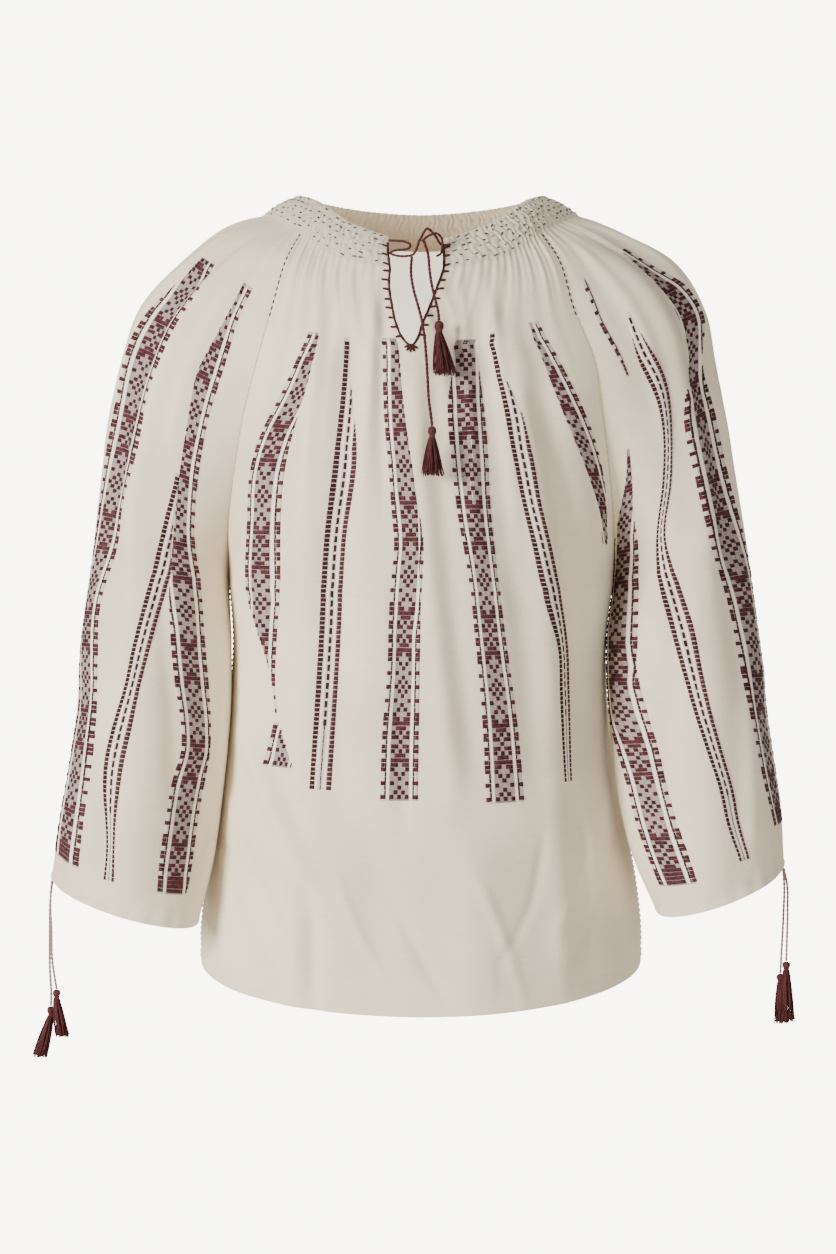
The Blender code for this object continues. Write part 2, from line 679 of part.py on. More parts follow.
def share_top(collar, panel, span, order):
    """One set of normals and a thin gap between the band and a panel's top edge."""
    line = collar.points[-1, span]
    shared = unit(collar.normals[-1, span] + panel.normals[0][order])
    square = unit(np.cross(np.gradient(line, axis=0), shared))
    inward = collar.points[-2, span] - line
    side = np.sign(np.sum(inward * square, axis=1, keepdims=True))
    collar.normals[-1, span] = shared
    panel.normals[0][order] = shared
    collar.shift[-1, span] = square * side * SEAM_GAP / 2
    panel.shift[0][order] -= square * side * SEAM_GAP / 2


def route(points, spacing):
    """Evenly spaced points on a smooth curve through the hand-chosen ones."""
    points = np.asarray(points, float)
    steps = np.concatenate(([0], np.cumsum(np.linalg.norm(np.diff(points, axis=0), axis=1))))
    fine = smooth(steps, points, np.linspace(0, steps[-1], 400))
    length = np.concatenate(([0], np.cumsum(np.linalg.norm(np.diff(fine, axis=0), axis=1))))
    count = max(4, round(length[-1] / spacing) + 1)
    places = np.linspace(0, length[-1], count)
    return np.stack([np.interp(places, length, fine[:, k]) for k in range(3)], axis=1)


def make_cord(name, points, diameter, surface, spacing):
    curve = bpy.data.curves.new(name, "CURVE")
    curve.dimensions = "3D"
    curve.bevel_depth = diameter / 2 * MILLIMETRE
    curve.bevel_resolution = 2
    curve.use_fill_caps = True
    line = curve.splines.new("POLY")
    path = route(points, spacing)
    line.points.add(len(path) - 1)
    for point, place in zip(line.points, path):
        point.co = (*(place * MILLIMETRE), 1)
    line.use_smooth = True
    curve.materials.append(surface)
    made = bpy.data.objects.new(name, curve)
    bpy.context.collection.objects.link(made)
    return made


def disc_triangles():
    """Corners of 24 triangles that fill a disc: a centre, six points, then twelve."""
    corners = []
    for k in range(6):
        inner, inner_next = ("in", k), ("in", (k + 1) % 6)
        rim = [("rim", (2 * k + step) % HEAD_SIDES) for step in range(3)]
        corners.append((("middle", 0), inner, inner_next))
        corners.append((inner, rim[0], rim[1]))
        corners.append((inner, rim[1], inner_next))
        corners.append((inner_next, rim[1], rim[2]))
    return corners


def make_tassel(name, top, head, skirt, lean, surface):
    """A bound head whose lower disc runs out into separate three-sided strands."""
    head_width, head_height = head
    skirt_width, skirt_depth, skirt_length = skirt
    mesh = bpy.data.meshes.new(name)
    build = bmesh.new()
    neck_radius = head_width * 0.40
    profile = ((0.22, 0.0), (0.5, 0.28), (0.5, 0.68), (0.40, 1.0))
    rings = []
    for width, depth in profile:
        ring = []
        for k in range(HEAD_SIDES):
            turn = 2 * math.pi * k / HEAD_SIDES
            spot = Vector((math.cos(turn), math.sin(turn), 0)) * head_width * width
            spot.z = -depth * head_height
            ring.append(build.verts.new(spot * MILLIMETRE))
        rings.append(ring)
    build.faces.new(rings[0])
    for upper, lower in zip(rings, rings[1:]):
        for k in range(HEAD_SIDES):
            after = (k + 1) % HEAD_SIDES
            build.faces.new((upper[k], lower[k], lower[after], upper[after]))
    places = {("rim", k): rings[-1][k] for k in range(HEAD_SIDES)}
    places[("middle", 0)] = build.verts.new(Vector((0, 0, -head_height)) * MILLIMETRE)
    for k in range(6):
        turn = 2 * math.pi * k / 6
        spot = Vector((math.cos(turn), math.sin(turn), 0)) * neck_radius * 0.5
        spot.z = -head_height
        places[("in", k)] = build.verts.new(spot * MILLIMETRE)
    spread = Vector((skirt_width, skirt_depth, 0)) / 2 / neck_radius
    for number, corner in enumerate(disc_triangles()):
        rim = [places[key] for key in corner]
        middle = sum((vertex.co for vertex in rim), Vector()) / 3
        root = [build.verts.new(middle.lerp(vertex.co, STRAND_FILL)) for vertex in rim]
        length = skirt_length * (1 - 0.10 * (0.5 + 0.5 * math.sin(number * 2.4)))
        tip = []
        for vertex in root:
            fall = length / skirt_length
            place = vertex.co.copy()
            place.x *= 1 + (spread.x - 1) * fall
            place.y *= 1 + (spread.y - 1) * fall
            place += Vector((lean[0] * fall, lean[1] * fall, -length)) * MILLIMETRE
            tip.append(build.verts.new(place))
        for k in range(3):
            after = (k + 1) % 3
            build.faces.new((rim[k], rim[after], root[after], root[k]))
            build.faces.new((root[k], root[after], tip[after], tip[k]))
        build.faces.new(tip)
    bmesh.ops.recalc_face_normals(build, faces=build.faces)
    build.to_mesh(mesh)
    build.free()
    mesh.shade_smooth()
    mesh.set_sharp_from_angle(angle=math.radians(40))
    mesh.materials.append(surface)
    made = bpy.data.objects.new(name, mesh)
    made.location = Vector(top) * MILLIMETRE
    bpy.context.collection.objects.link(made)
    return made


def make_ties():
    burgundy = material("burgundy cord", BURGUNDY, 0.85)
    mauve = material("mauve cord", MAUVE_BROWN, 0.85)
    brown = material("tassel thread", TASSEL_BROWN, 0.9)
    ends = {"neck_tie_long_end": LONG_END, "neck_tie_short_end": SHORT_END, **CUFF_CORDS}
    make_cord("neck_tie_lace", NECK_LACE, NECK_CORD * 0.85, burgundy, 2.4)
    make_cord("neck_tie_loop", NECK_LOOP, NECK_CORD * 0.85, burgundy, 3.2)
    for name, points in ends.items():
        neck = name.startswith("neck")
        thickness = NECK_CORD if neck else CUFF_CORD
        make_cord(name, points, thickness, burgundy if neck else mauve, thickness * 3)
    for name, cord, *sizes in TASSELS:
        x, y, z = ends[cord][-1]
        top = (x, y, z - CORD_END_GAP)
        make_tassel(name, top, sizes[:2], sizes[2:5], sizes[5:], brown)


make_garment(material("cream cotton", CREAM, 0.9))
make_ties()
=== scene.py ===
import math
import re

import bmesh
import bpy
import numpy as np
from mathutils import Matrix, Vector


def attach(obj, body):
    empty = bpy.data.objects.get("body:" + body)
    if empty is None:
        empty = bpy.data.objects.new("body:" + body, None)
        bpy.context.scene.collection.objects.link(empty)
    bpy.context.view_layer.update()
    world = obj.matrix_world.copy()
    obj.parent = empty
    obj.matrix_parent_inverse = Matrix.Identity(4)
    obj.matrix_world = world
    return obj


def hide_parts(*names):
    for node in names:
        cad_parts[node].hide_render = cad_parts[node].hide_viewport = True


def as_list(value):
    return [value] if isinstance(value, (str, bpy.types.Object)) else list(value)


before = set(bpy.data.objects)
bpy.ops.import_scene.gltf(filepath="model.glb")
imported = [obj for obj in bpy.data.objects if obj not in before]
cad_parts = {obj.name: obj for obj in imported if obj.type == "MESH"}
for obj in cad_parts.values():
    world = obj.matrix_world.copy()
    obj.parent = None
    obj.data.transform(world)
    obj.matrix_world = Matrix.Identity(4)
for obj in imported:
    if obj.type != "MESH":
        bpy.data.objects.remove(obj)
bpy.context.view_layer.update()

# Tables are in millimetres, meshes in metres. The front faces -Y and +Z is up.
mm = 0.001

# The view: one pixel of the photograph is 0.8 mm at the middle of the blouse.
view = {
    "imageHeight": 1254,
    "pixel": 0.8,
    "distance": 3200,
    "sideways": -2.4,
    "height": -341.6,
    "sensor": 36,
}


def makeCamera():
    camera = bpy.data.objects.new("frontCamera", bpy.data.cameras.new("frontCamera"))
    camera.data.sensor_width = view["sensor"]
    camera.data.lens = view["sensor"] * view["distance"] / (view["imageHeight"] * view["pixel"])
    camera.location = Vector((view["sideways"], -view["distance"], view["height"])) * mm
    camera.rotation_euler = (math.radians(90), 0, 0)
    bpy.context.collection.objects.link(camera)
    bpy.context.scene.camera = camera


makeCamera()
print("camera set")


# Shader maths: a socket that takes part in sums and products.
class Value:
    def __init__(self, shader, socket):
        self.shader = shader
        self.socket = socket

    def math(self, operation, *others):
        inputs = dict(enumerate((self, *others)))
        return self.shader.node("ShaderNodeMath", {"operation": operation}, inputs)

    def __add__(self, other):
        return self.math("ADD", other)

    def __mul__(self, other):
        return self.math("MULTIPLY", other)

    def __rsub__(self, other):
        return (self * -1) + other

    __radd__ = __add__
    __rmul__ = __mul__

    def between(self, low, high, soft):
        # 1 from low to high and 0 outside, with soft edges
        rise, fall = (
            self.shader.node("ShaderNodeMapRange", {"interpolation_type": "SMOOTHSTEP"},
                             {"Value": self, "From Min": edge - soft, "From Max": edge + soft})
            for edge in (low, high)
        )
        return rise * (1 - fall)


class Finish:
    def __init__(self, name, roughness, sheen=0.0):
        self.material = bpy.data.materials.new(name)
        self.material.use_nodes = True
        self.tree = self.material.node_tree
        self.surface = self.tree.nodes["Principled BSDF"]
        self.surface.inputs["Roughness"].default_value = roughness
        self.surface.inputs["Specular IOR Level"].default_value = 0.25
        self.surface.inputs["Sheen Weight"].default_value = sheen
        self.surface.inputs["Sheen Roughness"].default_value = 0.5

    def feed(self, socket, value):
        if isinstance(value, Value):
            self.tree.links.new(value.socket, socket)
        elif isinstance(value, tuple) and len(value) == 3 and socket.type == "RGBA":
            socket.default_value = (*value, 1)
        else:
            socket.default_value = value

    def node(self, kind, settings, sockets, output=0):
        made = self.tree.nodes.new(kind)
        for key, value in settings.items():
            setattr(made, key, value)
        for key, value in sockets.items():
            self.feed(made.inputs[key], value)
        return Value(self, made.outputs[output])

    def place(self):
        return self.node("ShaderNodeTexCoord", {}, {}, 3)

    def along(self):
        # the piece's own cloth coordinates, metres across and down
        return self.node("ShaderNodeUVMap", {"uv_map": "cloth"}, {})

    def millimetres(self, vector, axis):
        return self.node("ShaderNodeSeparateXYZ", {}, {0: vector}, axis) * 1000

    def wave(self, value, pitch):
        angle = value * (2 * math.pi / pitch)
        return self.node("ShaderNodeMath", {"operation": "SINE"}, {0: angle})

    def noise(self, vector, scale, detail=2.0, stretch=(1, 1, 1)):
        moved = self.node("ShaderNodeMapping", {}, {"Vector": vector, "Scale": stretch})
        return self.node("ShaderNodeTexNoise", {},
                         {"Vector": moved, "Scale": scale, "Detail": detail})

    def mix(self, share, first, second):
        # a mix node's colours are its sockets 6 and 7, and its colour result is output 2
        return self.node("ShaderNodeMix", {"data_type": "RGBA"}, {0: share, 6: first, 7: second}, 2)

    def colour(self, value):
        self.feed(self.surface.inputs["Base Color"], value)

    def bump(self, height, strength, distance):
        # distance is in millimetres
        sockets = {"Height": height, "Strength": strength, "Distance": distance * mm}
        self.feed(self.surface.inputs["Normal"], self.node("ShaderNodeBump", {}, sockets))


# Curves through short tables.
def smooth(knots, values, at):
    knots = np.asarray(knots, float)
    values = np.asarray(values, float)
    slopes = np.gradient(values, knots, axis=0)
    at = np.clip(np.asarray(at, float), knots[0], knots[-1])
    cell = np.clip(np.searchsorted(knots, at, side="right") - 1, 0, len(knots) - 2)
    width = knots[cell + 1] - knots[cell]
    s = (at - knots[cell]) / width
    if values.ndim == 2 and s.ndim:
        s = s[..., None]
        width = width[..., None]
    return (
        (2 * s**3 - 3 * s**2 + 1) * values[cell]
        + (s**3 - 2 * s**2 + s) * width * slopes[cell]
        + (3 * s**2 - 2 * s**3) * values[cell + 1]
        + (s**3 - s**2) * width * slopes[cell + 1]
    )


def readTable(table, at):
    table = np.asarray(table, float)
    return smooth(table[:, 0], table[:, 1:], at)


def ease(share):
    share = np.clip(share, 0.0, 1.0)
    return share * share * (3 - 2 * share)


def unit(vectors):
    return vectors / np.maximum(np.linalg.norm(vectors, axis=-1, keepdims=True), 1e-9)


def uneven(number):
    # a steady share from 0 to 1 for each number, without any pattern to the eye
    wave = np.sin(np.asarray(number, float) * 12.9898 + 4.1) * 437.5453
    return wave - np.floor(wave)


def varied(number, least):
    return least + (1 - least) * uneven(number)


def blend(first, last, share):
    return first + (last - first) * share


def travel(points):
    # how far along its first axis each point of a line or grid lies
    steps = np.linalg.norm(np.diff(points, axis=0), axis=-1).cumsum(0)
    return np.concatenate((np.zeros_like(steps[:1]), steps))


def circleTurns(rings, sides):
    # the angle of each corner of a tube, a row for each ring
    return np.tile(np.arange(sides) / sides * 2 * math.pi, (rings, 1))


def gridIndex(grid):
    return np.arange(grid.shape[0] * grid.shape[1]).reshape(grid.shape[:2])


def gridCorners(grid):
    # the four corners of each cell
    return np.stack((grid[:-1, :-1], grid[1:, :-1], grid[1:, 1:], grid[:-1, 1:]), 2)


def prismQuads(steps, sides):
    # the long faces of a prism whose points come ring after ring
    quads = []
    for k in range(steps):
        for side in range(sides):
            here, there = k * sides + side, k * sides + (side + 1) % sides
            quads.append((here, there, there + sides, here + sides))
    return quads


def settle(piece, slot, node=None):
    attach(piece, "root")
    if node:
        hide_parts(node)


def meshPiece(name, points, faces, finish, cloth=None, marks=None, finishes=()):
    # points in millimetres; cloth holds a pair for each corner of each face, in metres
    mesh = bpy.data.meshes.new(name)
    mesh.from_pydata((np.asarray(points) * mm).tolist(), [], [list(face) for face in faces])
    if cloth is not None:
        layer = mesh.uv_layers.new(name="cloth")
        layer.data.foreach_set("uv", np.asarray(cloth, np.float32).ravel())
    for surface in (finish, *finishes):
        mesh.materials.append(surface.material)
    if marks is not None:
        mesh.polygons.foreach_set("material_index", np.asarray(marks, np.int32))
    mesh.shade_smooth()
    made = bpy.data.objects.new(name, mesh)
    bpy.context.collection.objects.link(made)
    return made


# Cords: the same points as the solids.
cords = {
    "neck_tie_lace": {
        "diameter": 2.04, "farEnd": "object", "tassel": None,
        "points": (
            (23.0, -92.9, -44.4), (16.5, -94.4, -45.0), (11.0, -99.0, -38.5), (5.0, -102.0, -33.0),
            (-0.5, -102.5, -41.0), (-7.0, -102.5, -53.5), (-13.0, -101.0, -54.3), (-19.5, -99.5, -53.6),
            (-24.0, -97.2, -51.4), (-19.5, -97.6, -49.4), (-13.5, -98.6, -49.0), (-9.0, -98.4, -47.6),
            (-8.4, -97.2, -45.0), (-12.5, -95.6, -42.6), (-18.0, -91.0, -41.4), (-24.8, -86.0, -40.7),
        ),
    },
    "neck_tie_loop": {
        "diameter": 2.04, "farEnd": "knot", "tassel": None,
        "points": (
            (0.5, -104.4, -43.0), (6.5, -105.2, -38.5), (12.5, -103.2, -37.0), (16.2, -101.0, -41.0),
            (16.4, -100.2, -47.0), (15.2, -102.0, -52.5), (12.0, -103.8, -54.6),
        ),
    },
    "neck_tie_long_end": {
        "diameter": 2.4, "farEnd": "fitting", "tassel": "neck_tassel_long",
        "points": (
            (-7.2, -103.0, -55.2), (-7.8, -110.2, -67.5), (-6.0, -115.8, -80.5), (-2.4, -119.8, -94.0),
            (0.4, -122.6, -105.0), (2.2, -125.0, -116.0), (3.6, -128.2, -129.5), (4.8, -132.0, -148.0),
            (6.0, -134.0, -168.0), (7.6, -135.4, -180.5), (8.4, -135.8, -187.5),
        ),
    },
    "neck_tie_short_end": {
        "diameter": 2.4, "farEnd": "fitting", "tassel": "neck_tassel_short",
        "points": (
            (2.35, -105.15, -43.4), (5.4, -111.0, -54.0), (6.6, -115.6, -67.0), (8.6, -119.4, -80.0),
            (10.6, -121.8, -88.5), (13.0, -124.8, -98.5), (13.8, -125.6, -106.0),
        ),
    },
    "cuff_cord_left_a": {
        "diameter": 2.0, "farEnd": "fitting", "tassel": "cuff_tassel_left_a",
        "points": (
            (-290.4, -53.3, -541.3), (-291.6, -53.0, -557.0), (-290.8, -52.4, -580.0),
            (-290.2, -52.0, -604.0), (-288.4, -52.0, -617.0), (-286.8, -52.0, -626.5),
        ),
    },
    "cuff_cord_left_b": {
        "diameter": 2.0, "farEnd": "fitting", "tassel": "cuff_tassel_left_b",
        "points": (
            (-290.4, -43.0, -538.5), (-292.2, -43.4, -553.0), (-293.0, -43.8, -585.0),
            (-292.8, -44.0, -612.0), (-291.8, -44.2, -630.0), (-292.0, -44.4, -640.5),
        ),
    },
    "cuff_cord_right_a": {
        "diameter": 2.0, "farEnd": "fitting", "tassel": "cuff_tassel_right_a",
        "points": (
            (285.4, -53.3, -531.3), (287.8, -53.0, -543.0), (288.4, -52.6, -565.0),
            (287.8, -52.4, -590.0), (287.4, -52.4, -604.5),
        ),
    },
    "cuff_cord_right_b": {
        "diameter": 2.0, "farEnd": "fitting", "tassel": "cuff_tassel_right_b",
        "points": (
            (285.4, -43.0, -528.6), (286.6, -42.4, -543.0), (286.2, -40.6, -570.0),
            (285.0, -37.6, -598.0), (284.2, -36.6, -615.5),
        ),
    },
}
cordStyle = {"sides": 12, "step": 0.45, "plyDepth": 0.16, "turnLength": 7.0, "plies": 2}

tassels = {
    # head width, head height, skirt width, depth and length, lean sideways and in depth
    "neck_tassel_long": (6.4, 10.5, 20, 12.5, 28, 0.5, -0.5),
    "neck_tassel_short": (7.2, 11.5, 21, 12.5, 31, 4.5, -1.0),
    "cuff_tassel_left_a": (6.0, 8.5, 12.5, 11, 29, 4.5, -1.0),
    "cuff_tassel_left_b": (6.0, 8.5, 13, 11, 32, -8.5, 0.5),
    "cuff_tassel_right_a": (6.2, 8.0, 14, 11, 40, 0.5, -1.5),
    "cuff_tassel_right_b": (6.2, 8.0, 13, 11, 32, 1.0, 2.5),
}
tasselStyle = {
    "strands": 84, "strandWidth": 1.1, "steps": 7, "strandSides": 4, "bow": 0.9, "thinning": 0.35,
    "headRings": 26, "headSides": 28, "cordGap": 0.35,
    # the head's outline from its top: places, and radii as shares of its width
    "outline": ((0, 0.08, 0.28, 0.5, 0.62, 0.76, 1.0), (0.2, 0.38, 0.5, 0.47, 0.38, 0.36, 0.46)),
    # where the binding lies, its turns and their height; the head's threads and their height
    "binding": (0.52, 0.84, 9, 0.03), "threads": (14, 0.018),
}
goldenTurn = 2.39996


def twistedFinish(name, deep, light):
    # turns of the two plies, with a lighter wear on their crowns
    made = Finish(name, 0.85)
    fleck = made.noise(made.along(), 900, 3, (1, 0.4, 1))
    made.colour(made.mix(fleck.between(0.45, 2, 0.12), deep, light))
    threads = made.noise(made.along(), 2600, 2, (0.2, 1, 1))
    made.bump(threads, 0.5, 0.25)
    return made


burgundyCord = twistedFinish("burgundyCord", (0.028, 0.0038, 0.005), (0.066, 0.012, 0.0145))
mauveCord = twistedFinish("mauveCord", (0.17, 0.09, 0.082), (0.29, 0.18, 0.165))
tasselThread = twistedFinish("tasselThread", (0.026, 0.0045, 0.0048), (0.075, 0.0165, 0.0165))


def route(points, spacing):
    points = np.asarray(points, float)
    steps = travel(points)
    fine = smooth(steps, points, np.linspace(0, steps[-1], 600))
    length = travel(fine)
    count = max(4, round(length[-1] / spacing) + 1)
    places = np.linspace(0, length[-1], count)
    return np.stack([np.interp(places, length, fine[:, k]) for k in range(3)], axis=1)


def crossDirections(path):
    # two directions square to the path, carried along it without a twist
    ahead = unit(np.gradient(path, axis=0))
    first = np.zeros_like(path)
    start = np.cross(ahead[0], (0, 0, 1) if abs(ahead[0][2]) < 0.9 else (1, 0, 0))
    first[0] = start / np.linalg.norm(start)
    for k in range(1, len(path)):
        kept = first[k - 1] - ahead[k] * np.dot(first[k - 1], ahead[k])
        first[k] = kept / np.linalg.norm(kept)
    return first, np.cross(ahead, first)


# Metres of cloth coordinate round any tube.
tubeGirth = 0.008


def tubeMesh(path, radii, turns):
    # a closed tube: radii and turns hold a row for each ring and a column for each side
    first, second = crossDirections(path)
    sides = radii.shape[1]
    ring = first[:, None] * np.cos(turns)[..., None] + second[:, None] * np.sin(turns)[..., None]
    points = (path[:, None] + ring * radii[..., None]).reshape(-1, 3)
    index = gridIndex(radii)
    after = np.roll(index, -1, axis=1)
    faces = np.stack((index[:-1], after[:-1], after[1:], index[1:]), -1).reshape(-1, 4).tolist()
    faces.append(index[0][::-1].tolist())
    faces.append(index[-1].tolist())
    across, down = np.meshgrid(np.arange(sides + 1) / sides * tubeGirth, travel(path) * mm)
    cells = gridCorners(np.stack((across, down), -1))[:, :, (0, 3, 2, 1)]
    cloth = cells.reshape(-1, 2).tolist() + [(0, 0)] * (2 * sides)
    return points, faces, cloth


def makeCord(name, facts):
    path = route(facts["points"], cordStyle["step"])
    turns = circleTurns(len(path), cordStyle["sides"])
    twist = np.arange(len(path))[:, None] * cordStyle["step"] / cordStyle["turnLength"] * 2 * math.pi
    lobes = np.abs(np.cos((turns - twist) * cordStyle["plies"] / 2))
    radii = facts["diameter"] / 2 * (1 + cordStyle["plyDepth"] * (1.8 * lobes - 1.6))
    points, faces, cloth = tubeMesh(path, radii, turns)
    onNeck = name.startswith("neck")
    made = meshPiece(name.replace("_", "."), points, faces,
                     burgundyCord if onNeck else mauveCord, cloth)
    settle(made, "burgundy_cord" if onNeck else "mauve_cord", name)
    return made, path


def strandMesh(start, end, number):
    # one thread from the head's rim to its tip, with a slight wave of its own
    share = np.linspace(0, 1, tasselStyle["steps"])[:, None]
    bow = np.array((math.sin(number * 1.7), math.cos(number * 2.3), 0)) * tasselStyle["bow"]
    path = blend(start, end, share) + bow * np.sin(share * math.pi)
    turns = circleTurns(len(path), tasselStyle["strandSides"]) + number
    radii = np.full(turns.shape, tasselStyle["strandWidth"] / 2) * (1 - tasselStyle["thinning"] * share)
    return tubeMesh(path, radii, turns)


def makeTassel(name, top):
    headWidth, headHeight, skirtWidth, skirtDepth, skirtLength, leanX, leanY = tassels[name]
    rings, sides = tasselStyle["headRings"], tasselStyle["headSides"]
    share = np.linspace(0, 1, rings)
    # the head: a domed crown, a bound neck with turns of thread, then the flare
    profile = smooth(*tasselStyle["outline"], share)
    low, high, bindingTurns, bindingHeight = tasselStyle["binding"]
    binding = bindingHeight * np.sin(share * 2 * math.pi * bindingTurns) * ((share > low) & (share < high))
    path = np.outer(share, (0, 0, -headHeight))
    turns = circleTurns(rings, sides)
    threadCount, threadHeight = tasselStyle["threads"]
    away = np.abs(share - (low + high) / 2) / 0.2
    threads = threadHeight * np.cos(turns * threadCount) * ease(away)[:, None]
    radii = headWidth * (profile[:, None] + binding[:, None] + threads)
    points, faces, cloth = tubeMesh(path, radii, turns)
    points = [points]
    offset = rings * sides
    spread = np.array((skirtWidth, skirtDepth)) / 2
    for number in range(tasselStyle["strands"]):
        radius = math.sqrt((number + 0.5) / tasselStyle["strands"])
        angle = number * goldenTurn
        flat = np.array((math.cos(angle), math.sin(angle))) * radius
        length = skirtLength * varied(number + headWidth, 0.9)
        start = np.array((*(flat * headWidth * 0.4), -headHeight * 0.88))
        end = np.array((*(flat * spread * 0.93), -headHeight - length)) + (leanX, leanY, 0)
        more, newFaces, newCloth = strandMesh(start, end, number)
        faces += [[k + offset for k in face] for face in newFaces]
        cloth += newCloth
        points.append(more)
        offset += len(more)
    points = np.concatenate(points) + (top[0], top[1], top[2] - tasselStyle["cordGap"])
    made = meshPiece(name.replace("_", "."), points, faces, tasselThread, cloth)
    settle(made, "tassel_thread", name)
    return made


def makeTies():
    for name, facts in cords.items():
        made, path = makeCord(name, facts)
        tassel = makeTassel(facts["tassel"], facts["points"][-1]) if facts["tassel"] else None
        [k * mm for k in facts["points"][0]]
        float(travel(path)[-1]) * mm
        facts["diameter"] * mm


makeTies()
print("ties and tassels made")


# The blouse's form: the same sections as the solids. Row 0 is the neck band's lower edge,
# row 1 the armpits and row 2 the hems. Left and right are as seen from the front.
neckRing = (
    # angle, upper x, y, z, lower x, y, z
    (0, 0, -85, -41, 0, -107, -65),
    (30, 50, -74, -28, 66, -92, -54),
    (60, 80, -42, -6, 97, -62, -30),
    (90, 96, -2, 3, 126, -6, -14),
    (120, 84, 38, 2, 106, 56, -20),
    (150, 47, 56, -3, 60, 76, -29),
    (180, 0, 60, -6, 0, 80, -34),
)
leftSleeve = (
    # row, crest x, crest z, tilt, width, centre y, half depth, wrap
    (0.00, 126, -14, 27, 36, -3, 69, -25),
    (0.12, 160, -26, 30, 62, -5, 87, -24),
    (0.23, 190, -48, 31, 86, -5, 90, -20),
    (0.37, 225, -84, 28, 109, -3, 86, -10),
    (0.50, 240, -122, 26, 113, -1, 78, 4),
    (0.65, 252, -175, 21, 113, 0, 69, 24),
    (0.82, 259, -233, 16, 111, -2, 61, 50),
    (1.00, 265, -292, 7, 113, -7, 56, 90),
    (1.17, 270, -345, 4, 119.8, -20, 53, 90),
    (1.36, 273, -396, 5, 122.8, -30, 51, 90),
    (1.57, 280, -452, 7, 125, -38, 49, 90),
    (1.80, 288, -505, 9, 126, -45, 46, 90),
    (2.00, 291, -539, 17, 120, -48, 41, 90),
)
rightSleeve = (
    # row, crest x, crest z, tilt, width, centre y, half depth, wrap
    (0.00, 126, -12, 27, 38, -3, 69, -25),
    (0.12, 162, -26, 29, 62, -5, 87, -24),
    (0.23, 201, -47, 29, 94, -5, 90, -20),
    (0.37, 228, -87, 27, 104, -3, 86, -10),
    (0.50, 237, -127, 25, 105, -1, 78, 4),
    (0.65, 247, -180, 21, 106, 0, 69, 24),
    (0.82, 256, -234, 16, 108, -2, 61, 50),
    (1.00, 264, -290, 8, 112, -7, 56, 90),
    (1.17, 269, -345, 2, 121.4, -20, 53, 90),
    (1.36, 274, -396, 3, 126, -30, 51, 90),
    (1.57, 281, -450, 6, 127.8, -38, 49, 90),
    (1.80, 286, -498, 10, 122, -45, 46, 90),
    (2.00, 286, -529, 20, 106, -48, 41, 90),
)
yokeBody = (
    # row, front y, front z, front seam angle, back y, back z, back seam angle
    (0.00, -107, -65, 62, 80, -34, 62),
    (0.12, -112, -90, 60, 90, -62, 62),
    (0.23, -115.5, -113, 58, 96, -92, 62),
    (0.37, -119, -148, 60, 101, -132, 64),
    (0.50, -122, -182, 64, 104, -170, 68),
    (0.65, -124, -222, 70, 105, -216, 74),
    (0.82, -125, -268, 80, 103, -264, 82),
    (1.00, -124.5, -315, 90, 101, -312, 90),
)
lowerBody = (
    # row, left x, right x, side y, side z, front y, front z, back y, back z
    (1.00, -152.8, 153.0, -7, -305.5, -124.5, -315, 101, -312),
    (1.15, -150, 148, -4, -352, -122, -362, 98, -360),
    (1.30, -153, 149, -2, -400, -118.5, -412, 96, -408),
    (1.46, -159, 155, 0, -450, -115, -464, 98, -460),
    (1.62, -166, 164, 0, -500, -114, -518, 102, -512),
    (1.80, -173, 173, 0, -552, -115, -577, 107, -566),
    (1.93, -176, 176, 0, -588, -117, -620, 111, -610),
    (2.00, -175, 175, 0, -606, -117, -642.5, 112, -632),
)
slitEdges = (
    # row, left x, right x
    (0.00, -23.5, 13.5),
    (0.07, -24.3, 8.7),
    (0.14, -22.2, 4.5),
    (0.21, -19.0, -0.3),
    (0.26, -13.5, -3.5),
    (0.285, -7.5, -7.5),
    (0.60, -4.0, -4.0),
    (1.20, 0.0, 0.0),
    (2.00, 0.0, 0.0),
)
garment = {
    "thickness": 0.8,
    "collarBulge": 2.6,
    "collarFade": 0.3,
    "cuffDip": 11.0,
    "slitBottom": 0.285,
    "slitLeft": (14.5, 10.3),
    "slitRight": (350.5, 352.4),
    "raglan": {"frontLeft": 57, "backLeft": 123, "backRight": 237, "frontRight": 303},
    "halfFrontColumns": 96,
    "sleeveColumns": 112,
    "backColumns": 150,
    "collarColumns": 860,
    "collarRows": 24,
    "hemWidth": 9.0,
    "hemHeight": 0.75,
    "cuffHemWidth": 5.0,
}
raglan = garment["raglan"]


def wholeRing():
    turn = []
    for row in neckRing:
        turn.append((row[0], -row[1], row[2], row[3], -row[4], row[5], row[6]))
    for row in reversed(neckRing[1:-1]):
        turn.append((360 - row[0], *row[1:]))
    return np.array([(row[0] + lap, *row[1:]) for lap in (-360, 0, 360) for row in turn], float)


ring = wholeRing()


def neckPoint(angle, share):
    edges = smooth(ring[:, 0], ring[:, 1:], angle)
    upper, lower = edges[..., :3], edges[..., 3:]
    share = np.asarray(share, float)[..., None]
    outward = unit(lower * (1, 1, 0))
    bulge = garment["collarBulge"] * np.sin(math.pi * share)
    return blend(upper, lower, share) + outward * bulge * (0.6, 0.6, 0) + (0, 0, 0.6) * bulge


def topEdgeShift(points, top, angles, row):
    fade = 1 - ease(row / garment["collarFade"])
    return points + (neckPoint(angles, np.ones_like(angles)) - top) * fade


